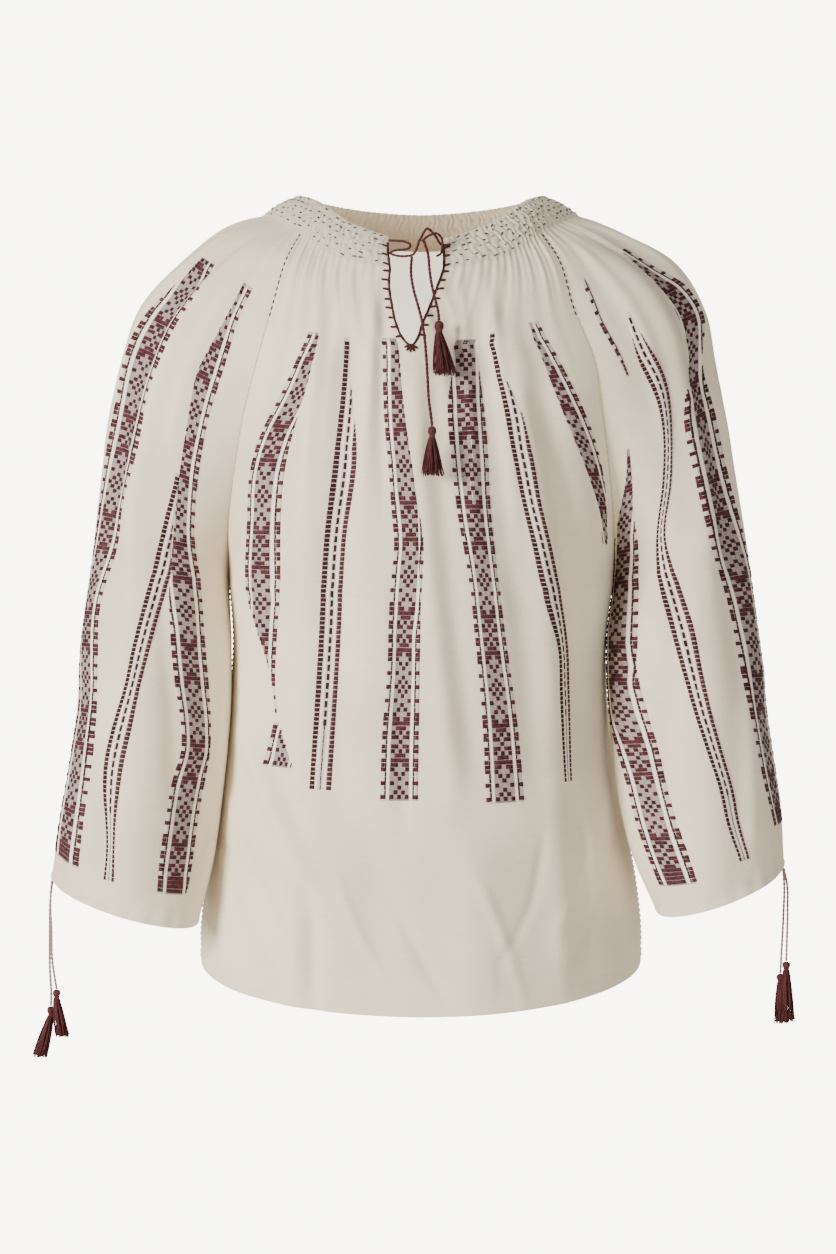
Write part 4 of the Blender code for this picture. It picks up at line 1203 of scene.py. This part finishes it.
def calm(values, reach):
    # a moving mean that keeps both ends
    padded = np.pad(values, reach, mode="edge")
    return np.convolve(padded, np.ones(2 * reach + 1) / (2 * reach + 1), mode="valid")


def columnWhere(seenX, seenZ, heights, edge, first, last):
    # the column of each row where the panel, as seen, meets the band's edge
    at = smooth(heights, edge, seenZ[:, first:last])
    off = seenX[:, first:last] - at
    crossing = off[:, :-1] * off[:, 1:] <= 0
    j = np.where(crossing.any(axis=1), crossing.argmax(axis=1), np.abs(off[:, :-1]).argmin(axis=1))
    pick = np.arange(len(off))
    a, b = off[pick, j], off[pick, j + 1]
    share = np.where(crossing.any(axis=1), a / np.where(np.abs(a - b) < 1e-9, 1, a - b), 0)
    return first + j + np.clip(share, 0, 1)


def columnWidth(cloth, kept, middle):
    at = kept.astype(float)
    step = cloth.at(cloth.points, at, middle + 0.5) - cloth.at(cloth.points, at, middle - 0.5)
    return calm(np.linalg.norm(step, axis=1), 4)


def seenStrip(cloth, band, first, last, wraps=False):
    kind, table = band
    table = np.array(sorted((*row, 0, weave[kind])[:5] for row in table), float)
    heights = table[:, 0]
    seenX, seenZ = cloth.seen()
    left = columnWhere(seenX, seenZ, heights, table[:, 1], first, last)
    right = columnWhere(seenX, seenZ, heights, table[:, 2], first, last)
    middle = (left + right) / 2
    height = cloth.at(seenZ[..., None], np.arange(len(seenZ)).astype(float), middle)[..., 0]
    kept = np.where((height <= heights[-1]) & (height >= heights[0]))[0]
    kept = np.arange(kept[0], kept[-1] + 1)
    shownFrom = np.interp(height[kept], heights, table[:, 3])
    shownTo = np.interp(height[kept], heights, table[:, 4])
    left, right = calm(left[kept], 3), calm(right[kept], 3)
    if wraps:
        # the band goes on round the sleeve's edge at its full width
        width = (shownTo - shownFrom) / columnWidth(cloth, kept, (left + right) / 2)
        far = calm(np.maximum(np.minimum(left, right) + width, np.maximum(left, right)), 6)
        left, right = np.where(left > right, (far, right), (left, far))
    return kind, kept.astype(float), left, right, shownFrom, shownTo


def hiddenStrip(cloth, band):
    kind, place, firstRow, lastRow = band
    kept = np.where((rows >= firstRow) & (rows <= lastRow))[0]
    middle = np.full(len(kept), place * (cloth.points.shape[1] - 1))
    step = columnWidth(cloth, kept, middle)
    # the top of the band lies partly in the gathers
    shown = weave[kind] * (0.35 + 0.65 * ease((rows[kept] - firstRow) / 0.45))
    half = shown / 2 / step
    return kind, kept.astype(float), middle - half, middle + half, np.zeros(len(kept)), shown


# A band's run over its panel: where each place on it lies, from its length and width.
class Band:
    def __init__(self, cloth, strip, onSleeve):
        self.cloth = cloth
        self.pitch = weave["sleevePitch" if onSleeve else "rowPitch"]
        self.lastRow = weave["sleeveLastRow" if onSleeve else "lastChartRow"]
        self.footRows, self.footChart = weave["sleeveFoot"] if onSleeve else (0, 0)
        self.kind, self.rows, self.left, self.right, self.shownFrom, self.shownTo = strip
        middle = cloth.place(self.rows, (self.left + self.right) / 2, np.zeros(len(self.rows)))
        self.length = travel(middle)
        self.total = self.length[-1]

    def place(self, down, across, lift):
        # down is measured from the band's top end
        row, left, right = (np.interp(down, self.length, line)
                            for line in (self.rows, self.left, self.right))
        start, end = self.shown(down)
        share = (across - start) / np.maximum(end - start, 0.5)
        return self.cloth.place(row, blend(left, right, share), lift)

    def shown(self, down):
        return [np.interp(down, self.length, line) for line in (self.shownFrom, self.shownTo)]


class Heap:
    # gathers many small closed shapes into one mesh
    def __init__(self):
        self.points, self.faces, self.cloth, self.marks = [], [], [], []
        self.count = 0

    def add(self, points, quads, cloth, mark=0):
        # points and cloth have a row for each shape, and quads are one shape's faces
        shapes, corners = points.shape[:2]
        offsets = self.count + np.arange(shapes)[:, None, None] * corners
        self.points.append(points.reshape(-1, 3))
        self.faces.append((np.asarray(quads)[None] + offsets).reshape(-1, 4))
        self.cloth.append(cloth[:, np.asarray(quads)].reshape(-1, 2) * mm)
        self.marks.append(np.full(len(self.faces[-1]), mark))
        self.count += shapes * corners

    def piece(self, name, finish, *others):
        made = meshPiece(name, np.concatenate(self.points), np.concatenate(self.faces).tolist(),
                         finish, np.concatenate(self.cloth), np.concatenate(self.marks), others)
        work = bmesh.new()
        work.from_mesh(made.data)
        bmesh.ops.recalc_face_normals(work, faces=work.faces)
        work.to_mesh(made.data)
        work.free()
        return made


def addBars(heap, band, down, start, end, halfLength, cells, height, mark=0):
    # raised bars across a band, with tapered edges; cells is the number of steps along each
    down, start, end = (np.asarray(values, float) for values in (down, start, end))
    halfLength = np.broadcast_to(np.asarray(halfLength, float), down.shape)
    sway, endSway = (weave["unevenness"] * (uneven(place) - 0.5)
                     for place in (down * 3.1 + start, down + end))
    down, start, end = down + sway * 0.8, start + sway, end + endSway
    low, high = band.shown(down)
    start, end = np.maximum(start, low), np.minimum(end, high)
    keep = (end - start > weave["shortestBar"]) & (down > halfLength)
    keep &= down < band.total - halfLength * 0.5
    down, start, end, halfLength = down[keep], start[keep], end[keep], halfLength[keep]
    if not len(down):
        return
    share = np.linspace(0, 1, cells + 1)
    widest, part = weave["inset"]
    inset = np.minimum(widest, (end - start) * part)
    base = blend(start[:, None], end[:, None], share)
    top = blend((start + inset)[:, None], (end - inset)[:, None], share)
    points, cloth = [], []
    for across, reach, lift in ((base, 1, 0), (top, weave["taper"], height),
                                (top, -weave["taper"], height), (base, -1, 0)):
        at = np.broadcast_to((down + halfLength * reach)[:, None], across.shape)
        points.append(band.place(at, across, np.full(at.shape, lift + weave["barLift"])))
        cloth.append(np.stack((across, at), -1))
    points, cloth = np.stack(points, 2), np.stack(cloth, 2)
    last = cells * 4
    quads = prismQuads(cells, 4) + [(3, 2, 1, 0), (last, last + 1, last + 2, last + 3)]
    corners = (cells + 1) * 4
    heap.add(points.reshape(len(down), corners, 3), quads, cloth.reshape(len(down), corners, 2), mark)


def addGround(heap, band):
    # the band's own cloth, a hair above the panel's, with its flat coordinates
    steps = 12 if band.kind == "wide" else 6
    down = np.linspace(0, band.total, max(4, int(band.total / weave["groundStep"])))
    low, high = band.shown(down)
    share = np.linspace(0, 1, steps + 1)
    across = blend(low[:, None], high[:, None], share)
    at = np.broadcast_to(down[:, None], across.shape)
    rise = np.minimum(1, np.minimum(share, 1 - share) * steps)
    top = band.place(at, across, np.full(at.shape, weave["groundLift"]) * rise - 0.02)
    under = band.place(at, across, np.full(at.shape, -weave["groundDepth"]))
    index = gridIndex(at)
    total = index.size
    quads = [gridCorners(index).reshape(-1, 4)]
    quads.append(quads[0][:, ::-1] + total)
    for line in (index[:, 0], index[-1], index[::-1, -1], index[0, ::-1]):
        quads.append(np.stack((line[1:], line[:-1], line[:-1] + total, line[1:] + total), -1))
    points = np.concatenate((top.reshape(-1, 3), under.reshape(-1, 3)))
    # narrow bands have their own stretch of cloth coordinates, so that the finish can tell them
    shift = 0 if band.kind == "wide" else weave["narrowShift"]
    flat = np.stack((across + shift, at), -1).reshape(-1, 2)
    heap.add(points[None], np.concatenate(quads), np.concatenate((flat, flat))[None])


def addBarLine(heap, band, down, start, width, halfLength, height=None, mark=0):
    # bars of one width, one for each place down the band
    start = np.full(len(down), start)
    addBars(heap, band, down, start, start + width, halfLength, 1, height or weave["blockHeight"], mark)


def addWideWeave(heap, band):
    pitch = band.pitch
    count = int((band.total - weave["foot"]) / pitch)
    number = np.arange(count)
    down = band.total - weave["foot"] - (number + 0.5) * pitch
    chartRow = np.where(number < band.footRows, band.footChart, (band.lastRow - 1 - number) % len(chart))
    bars = {}
    for place, row in zip(down, chartRow):
        for run in re.finditer("X+", chart[row]):
            start, end = (weave["centreStart"] + k * weave["centreStep"] for k in run.span())
            cells = len(run.group())
            spread = weave["dotSpread"] if cells == 1 else 0
            bars.setdefault(cells, []).append((place, start - spread, end + spread))
    reach = pitch * weave["barReach"]
    for cells, found in bars.items():
        addBars(heap, band, *np.array(found).T, reach, cells, weave["blockHeight"], int(cells > 1))
    width, block, line = weave["wide"], weave["sideBlock"], weave["sideLine"]
    solid = down[np.isin(chartRow + 1, sideRows)]
    for start in (0.1, width - block):
        addBarLine(heap, band, solid, start, block - 0.1, reach, mark=1)
    for start in (block, width - block - line):
        addBarLine(heap, band, down, start, line, pitch * 0.49)


def addNarrowWeave(heap, band):
    pitch = weave["rowPitch"]
    middle = weave["narrow"] / 2
    down = band.total - (np.arange(int(band.total / pitch)) + 0.5) * pitch
    dot, dash, endLine = weave["dotWidth"], weave["dashWidth"], weave["endLineWidth"]
    for place in (middle - weave["dotPlace"], middle + weave["dotPlace"]):
        addBarLine(heap, band, down, place - dot / 2, dot, pitch * 0.44, mark=int(place > middle))
    down = np.arange(weave["dashPitch"], band.total - weave["lineEnd"], weave["dashPitch"])
    addBarLine(heap, band, down, middle - dash / 2, dash, weave["dashLength"] / 2)
    down = np.arange(band.total - weave["lineEnd"], band.total, pitch)
    addBarLine(heap, band, down, middle - endLine / 2, endLine, pitch * 0.5, weave["blockHeight"] * 0.6)


def groundFinish():
    made = Finish("wovenGround", 0.9)
    cloth = made.along()
    across, down = made.millimetres(cloth, 0), made.millimetres(cloth, 1)
    centreEnd = weave["centreStart"] + len(chart[0]) * weave["centreStep"]
    lines = 0
    for shift, kind, (start, end), soft in ((0, "wide", weave["whiteLine"], 0.25),
                                            (weave["narrowShift"], "narrow", weave["narrowLine"], 0.2)):
        width = weave[kind]
        lines += across.between(shift + start, shift + end, soft)
        lines += across.between(shift + width - end, shift + width - start, soft)
    zone = across.between(weave["centreStart"] - 0.3, centreEnd + 0.3, 0.25)
    fleck = made.noise(cloth, 900, 2, (0.7, 1.6, 1))
    plain = made.mix(fleck.between(0.52, 2, 0.08), (0.50, 0.42, 0.36), (0.63, 0.55, 0.47))
    grey = made.mix(fleck.between(0.5, 2, 0.07), (0.205, 0.152, 0.14), (0.36, 0.288, 0.262))
    made.colour(made.mix(lines, made.mix(zone, plain, grey), (0.75, 0.67, 0.57)))
    made.bump(made.wave(down, 0.9) * 0.3 + fleck, 0.4, 0.35)
    return made


def weaveFinish(name, deep, light, flecks, share):
    # thick weft threads, with the lighter warp showing between them
    made = Finish(name, 0.85)
    cloth = made.along()
    patch = made.noise(made.place(), 210, 2)
    fleck = made.noise(cloth, 1300, 2, (0.3, 1.5, 1))
    base = made.mix(patch.between(0.5, 2, 0.12), deep, light)
    made.colour(made.mix(fleck.between(share, 2, 0.1), base, flecks))
    made.bump(made.wave(made.millimetres(cloth, 1), 0.95) * 0.5 + fleck, 0.6, 0.4)
    return made


wovenGround = groundFinish()
darkWeave = weaveFinish("darkWeave", (0.021, 0.0032, 0.0045), (0.045, 0.0078, 0.011),
                        (0.10, 0.028, 0.03), 0.66)
rosyWeave = weaveFinish("rosyWeave", (0.030, 0.0042, 0.0065), (0.062, 0.011, 0.0155),
                        (0.14, 0.045, 0.05), 0.60)


def sleeveStrips(cloth, bands):
    # the camera sees a little more than half of the way round
    last = int(garment["sleeveColumns"] * 0.56)
    seen = [seenStrip(cloth, band, 0, last, name == "outer") for name, band in bands.items()]
    return seen + [hiddenStrip(cloth, band) for band in sleeveBackBands]


def makeBands():
    lastColumn = 2 * garment["halfFrontColumns"] - 1
    strips = {
        "front": [seenStrip(forms["front"], band, 2, lastColumn) for band in frontBands.values()],
        "back": [hiddenStrip(forms["back"], band) for band in backBands],
        "sleeveLeft": sleeveStrips(forms["sleeveLeft"], leftSleeveBands),
        "sleeveRight": sleeveStrips(forms["sleeveRight"], rightSleeveBands),
    }
    made = {}
    for node, (name, *_) in panels.items():
        ground, raised = Heap(), Heap()
        for strip in strips[name]:
            band = Band(forms[name], strip, name.startswith("sleeve"))
            addGround(ground, band)
            (addWideWeave if band.kind == "wide" else addNarrowWeave)(raised, band)
        made[node] = [ground.piece(name + ".bandGround", wovenGround),
                      raised.piece(name + ".bandWeave", darkWeave, rosyWeave)]
        for piece, slot in zip(made[node], ("cream_cotton", "tassel_thread")):
            settle(piece, slot)
    return made


trims = makeBands()
print("bands woven")


# Hand stitches: short grains of thread that lie on the cloth.
grain = {
    "shares": (0.0, 0.14, 0.5, 0.86, 1.0), "widths": (0.4, 0.85, 1.0, 0.85, 0.4),
    "sides": 6, "arch": 0.3,
}
stitches = {
    "smocking": {
        "rows": 6, "pitch": 5.4, "length": 2.9, "width": 1.35, "height": 0.9, "missing": 0.12,
        # the first line's place, their distance and how far a stitch strays, as shares of the band
        "firstLine": 0.10, "lineStep": 0.155, "stray": 0.055,
        # the stitches are counted on this much of the way round
        "counted": 0.62,
        # which share of the stitches has which thread: grey, ochre, dark
        "tints": ((0, 0, 0.82), (1, 0.82, 0.94), (2, 0.94, 1.01)),
    },
    "edgeCord": {"radius": 1.0, "sides": 8, "step": 1.6, "collarFrom": 0.28},
    "blanket": {
        "pitch": 7.6, "length": 5.8, "width": 2.0, "height": 1.3,
        # millimetres without a stitch at the slit's top and bottom
        "topGap": 3.0, "bottomGap": 5,
        # on the collar's ends: places from its top, and degrees below level
        "collarShares": (0.42, 0.68, 0.94), "collarTurn": -12,
        # on the slit: degrees below level, how far they vary, and what the bottom adds
        "turn": -10, "turnVaries": 16, "turnAtBottom": 30,
        # where that begins above the slit's bottom, and over how many millimetres
        "bottomTurn": (22, 18),
    },
    # seams: each run's length of stitch, pitch, and thread's width and height
    "raglan": {"dark": 78, "darkRun": (3.6, 5.2, 1.3, 0.8), "lineRun": (5.6, 6.0, 0.6, 0.5), "inset": 0.9},
    "sideSeam": {"run": (2.2, 4.4, 0.8, 0.6)},
}
# The slit's lowest stitches: degrees from straight down.
slitFan = (-74, -40, -8, 26, 62)


def addThreads(heap, starts, ends, normals, width, height, mark=0):
    starts, ends, normals = (np.asarray(values, float) for values in (starts, ends, normals))
    along = ends - starts
    length = np.linalg.norm(along, axis=1)
    side = unit(np.cross(along, normals))
    shares, sides = np.array(grain["shares"]), grain["sides"]
    wide = np.array(grain["widths"])[:, None, None]
    arch = (height * grain["arch"] * np.sin(math.pi * shares))[:, None]
    path = starts[:, None] + along[:, None] * shares[:, None] + normals[:, None] * arch
    turns = circleTurns(1, sides)[0]
    ring = (side[:, None, None] * (np.cos(turns) * width / 2)[:, None]
            + normals[:, None, None] * (np.sin(turns) * height / 2)[:, None]) * wide
    points = (path[:, :, None] + ring).reshape(len(starts), -1, 3)
    cloth = np.zeros(points.shape[:2] + (2,))
    cloth[..., 0] = np.tile(np.arange(sides), len(shares)) * width / 3
    cloth[..., 1] = np.repeat(shares, sides) * length[:, None]
    last = (len(shares) - 1) * sides
    quads = prismQuads(len(shares) - 1, sides)
    for face in ((0, 1, 2, 3), (0, 3, 4, 5)):
        quads += [face[::-1], tuple(k + last for k in face)]
    heap.add(points, quads, cloth, mark)


def onCloth(cloth, row, column, lift):
    row, column = np.broadcast_arrays(np.asarray(row, float), np.asarray(column, float))
    return cloth.place(row, column, np.full(row.shape, lift)), unit(cloth.at(cloth.normals, row, column))


darkThread = twistedFinish("darkThread", (0.022, 0.003, 0.004), (0.05, 0.009, 0.011))
greyThread = twistedFinish("greyThread", (0.026, 0.025, 0.019), (0.075, 0.072, 0.056))
ochreThread = twistedFinish("ochreThread", (0.34, 0.22, 0.09), (0.50, 0.36, 0.17))
brownThread = twistedFinish("brownThread", (0.07, 0.028, 0.018), (0.14, 0.06, 0.035))


def makeSmockingStitches():
    facts = stitches["smocking"]
    form = collarForm
    lines, columns = form.points.shape[0] - 1, form.points.shape[1] - 1
    around = form.across[0, -1]
    perColumn, perRow = around / columns, form.down[-1, columns // 2] / lines
    count = int(around * facts["counted"] / facts["pitch"])
    heap = Heap()
    for line in range(facts["rows"]):
        number = np.arange(count) + line * 211.0
        share = (np.arange(count) + 0.5 + 0.5 * (line % 2) + 0.5 * (uneven(number) - 0.5)) / (count + 1)
        row = facts["firstLine"] + facts["lineStep"] * line + facts["stray"] * (uneven(number + 0.3) - 0.5)
        row = row * lines
        keep = uneven(number + 0.7) > facts["missing"]
        slant = 0.9 * (uneven(number + 0.9) - 0.35)
        size = facts["length"] * (0.6 + 0.8 * uneven(number + 0.1))
        reachColumn, reachRow = size * np.cos(slant) / perColumn / 2, size * np.sin(slant) / perRow / 2
        starts, normals = onCloth(form, row - reachRow, share * columns - reachColumn, 0.25)
        ends, _ = onCloth(form, row + reachRow, share * columns + reachColumn, 0.25)
        tint = uneven(number + 0.5)
        for mark, low, high in facts["tints"]:
            pick = keep & (tint >= low) & (tint < high)
            if pick.any():
                addThreads(heap, starts[pick], ends[pick], normals[pick], facts["width"], facts["height"],
                           mark)
    return heap.piece("collar.smockingStitches", greyThread, ochreThread, darkThread)


def slitPath():
    # down the collar's left end and the slit's left edge, then up the right ones
    half = garment["halfFrontColumns"]
    top = int(stitches["edgeCord"]["collarFrom"] * (len(collarForm.points) - 1))
    collarRows = np.arange(top, len(collarForm.points) - 1)
    frontRows = np.arange(1, slitRow)
    parts = []
    for cloth, order, column in (
        (collarForm, collarRows, 0), (forms["front"], frontRows, half),
        (forms["front"], frontRows[::-1], half + 1), (collarForm, collarRows[::-1], -1),
    ):
        parts.append(cloth.points[order, column] + cloth.normals[order, column] * 0.1)
    return np.concatenate(parts)


def makeSlitStitching():
    facts, cordFacts = stitches["blanket"], stitches["edgeCord"]
    rough = slitPath()
    length = travel(rough)
    places = np.linspace(0, length[-1], int(length[-1] / cordFacts["step"]))
    path = np.stack([calm(np.interp(places, length, rough[:, k]), 1) for k in range(3)], 1)
    turns = circleTurns(len(path), cordFacts["sides"])
    lobes = 1 + 0.12 * np.cos(turns * 2 + np.arange(len(path))[:, None] * 1.1)
    points, faces, cloth = tubeMesh(path, cordFacts["radius"] * lobes, turns)
    cord = meshPiece("front.slitEdge", points, faces, darkThread, cloth)

    half = garment["halfFrontColumns"]
    starts, ends, normals = [], [], []

    def stitch(cloth, row, column, turn, outwards):
        # turn is in degrees from level towards straight down
        i, j = int(min(row, len(cloth.points) - 2)), int(min(column, cloth.points.shape[1] - 2))
        perRow = np.linalg.norm(cloth.points[i + 1, j] - cloth.points[i, j])
        near = int(np.clip(column + outwards * 3, 1, cloth.points.shape[1] - 2))
        perColumn = np.linalg.norm(cloth.points[i, near + 1] - cloth.points[i, near])
        reach = facts["length"] * (0.88 + 0.24 * float(uneven(len(starts) + 0.4)))
        start, normal = onCloth(cloth, [row], [column], 0.3)
        end, _ = onCloth(cloth, [row + reach * math.sin(math.radians(turn)) / perRow],
                         [column + outwards * reach * math.cos(math.radians(turn)) / perColumn], 0.35)
        starts.append(start[0])
        ends.append(end[0])
        normals.append(normal[0])

    for column, outwards, collarColumn in ((half, -1, 0), (half + 1, 1, collarForm.points.shape[1] - 1)):
        down = travel(forms["front"].points[: slitRow + 1, column])
        turnStart, turnRun = facts["bottomTurn"]
        for place in np.arange(facts["topGap"], down[-1] - facts["bottomGap"], facts["pitch"]):
            slope = facts["turnVaries"] * float(uneven(place)) + facts["turn"]
            slope += facts["turnAtBottom"] * ease((place - down[-1] + turnStart) / turnRun)
            row = float(np.interp(place, down, np.arange(len(down))))
            stitch(forms["front"], row, column, slope, outwards)
        for share in facts["collarShares"]:
            row = share * (len(collarForm.points) - 1)
            stitch(collarForm, row, collarColumn, facts["collarTurn"], -outwards)
    tip = path[np.argmin(path[:, 2])]
    normal = forms["front"].normals[slitRow, half]
    for turn in np.radians(slitFan):
        ray = np.array((math.sin(turn), 0, -math.cos(turn)))
        starts.append(tip + normal * 0.5)
        ends.append(tip + normal * 0.4 + unit(ray - normal * np.dot(ray, normal)) * facts["length"])
        normals.append(normal)
    heap = Heap()
    addThreads(heap, starts, ends, normals, facts["width"], facts["height"])
    return [cord, heap.piece("front.blanketStitches", darkThread)]


def addRun(heap, cloth, column, rowSpan, span, run, mark):
    # stitches along one of a panel's edges; span is in millimetres from the first row
    order = np.arange(rowSpan[0], rowSpan[1] + 1)
    down = travel(cloth.points[order, int(round(column))])
    size, pitch, width, height = run
    places = np.arange(span[0], min(span[1], down[-1] - size), pitch)
    ends = [np.interp(places + shift, down, order) for shift in (0, size)]
    (first, normals), (second, _) = (onCloth(cloth, row, column, 0.22) for row in ends)
    addThreads(heap, first, second, normals, width, height, mark)


def makeSeamStitches():
    facts = stitches["raglan"]
    raglanRows, sideSeamRows = (1, armpitRow), (armpitRow, len(rows) - 1)
    made = {}
    for node, form, columns in (("front_panel", "front", (0, 2 * garment["halfFrontColumns"] + 1)),
                                ("back_panel", "back", (0, garment["backColumns"]))):
        heap, cloth = Heap(), forms[form]
        dark = facts["dark"] if form == "front" else 0
        for column in columns:
            column += facts["inset"] * (1 if column == 0 else -1)
            if dark:
                addRun(heap, cloth, column, raglanRows, (0, dark), facts["darkRun"], 0)
            addRun(heap, cloth, column, raglanRows, (dark, math.inf), facts["lineRun"], 1)
            addRun(heap, cloth, column, sideSeamRows, (4, math.inf), stitches["sideSeam"]["run"], 2)
        made[node] = heap.piece(form + ".seamStitches", darkThread, ochreThread, brownThread)
    return made


smockingStitches = makeSmockingStitches()
slitStitching = makeSlitStitching()
for piece in (smockingStitches, *slitStitching):
    settle(piece, "burgundy_cord")
for node, piece in makeSeamStitches().items():
    settle(piece, "burgundy_cord")
    trims[node].append(piece)
trims["front_panel"] += slitStitching
trims["smocked_collar"] = [smockingStitches]
print("hand stitches made")

for node, (_, width, length, area) in panels.items():
    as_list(trims[node])
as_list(trims["smocked_collar"])


# The stage: a plain pale floor well below the blouse, and soft studio light.
stage = {
    "floorDrop": -1450, "floorSize": 6400, "glow": 0.30, "paleness": 9.0,
    # name, place x, y, z, size, power, colour
    "lights": (
        ("keyLight", -2400, -2000, 250, 1000, 205, (1.0, 0.98, 0.95)),
        ("fillLight", 1500, -2700, -300, 2200, 48, (1.0, 0.99, 0.98)),
        ("backLight", 700, 2400, 900, 2000, 110, (1.0, 0.99, 0.97)),
        ("topLight", 0, 200, 1700, 1800, 8, (1.0, 1.0, 1.0)),
    ),
}


def makeStage():
    place = (0, 0, stage["floorDrop"] * mm)
    bpy.ops.mesh.primitive_plane_add(size=stage["floorSize"] * mm, location=place)
    floor = bpy.context.object
    floor.name = "floor"
    pale = Finish("paleFloor", 0.9)
    pale.colour((0.82, 0.81, 0.78))
    floor.data.materials.append(pale.material)
    world = bpy.data.worlds.new("paleRoom")
    world.use_nodes = True
    # the room lights the cloth softly and looks brighter to the camera than it shines
    tree = world.node_tree
    background = tree.nodes["Background"]
    background.inputs["Color"].default_value = (0.93, 0.905, 0.83, 1)
    ray = tree.nodes.new("ShaderNodeLightPath")
    strength = tree.nodes.new("ShaderNodeMapRange")
    strength.inputs["To Min"].default_value = stage["glow"]
    strength.inputs["To Max"].default_value = stage["paleness"]
    tree.links.new(ray.outputs["Is Camera Ray"], strength.inputs["Value"])
    tree.links.new(strength.outputs["Result"], background.inputs["Strength"])
    bpy.context.scene.world = world
    for name, x, y, z, size, power, colour in stage["lights"]:
        lamp = bpy.data.lights.new(name, "AREA")
        lamp.size = size * mm
        lamp.energy = power
        lamp.color = colour
        light = bpy.data.objects.new(name, lamp)
        light.location = Vector((x, y, z)) * mm
        aim = Vector((0, 0, view["height"])) * mm - light.location
        light.rotation_euler = aim.to_track_quat("-Z", "Y").to_euler()
        bpy.context.collection.objects.link(light)


makeStage()
print("stage lit")
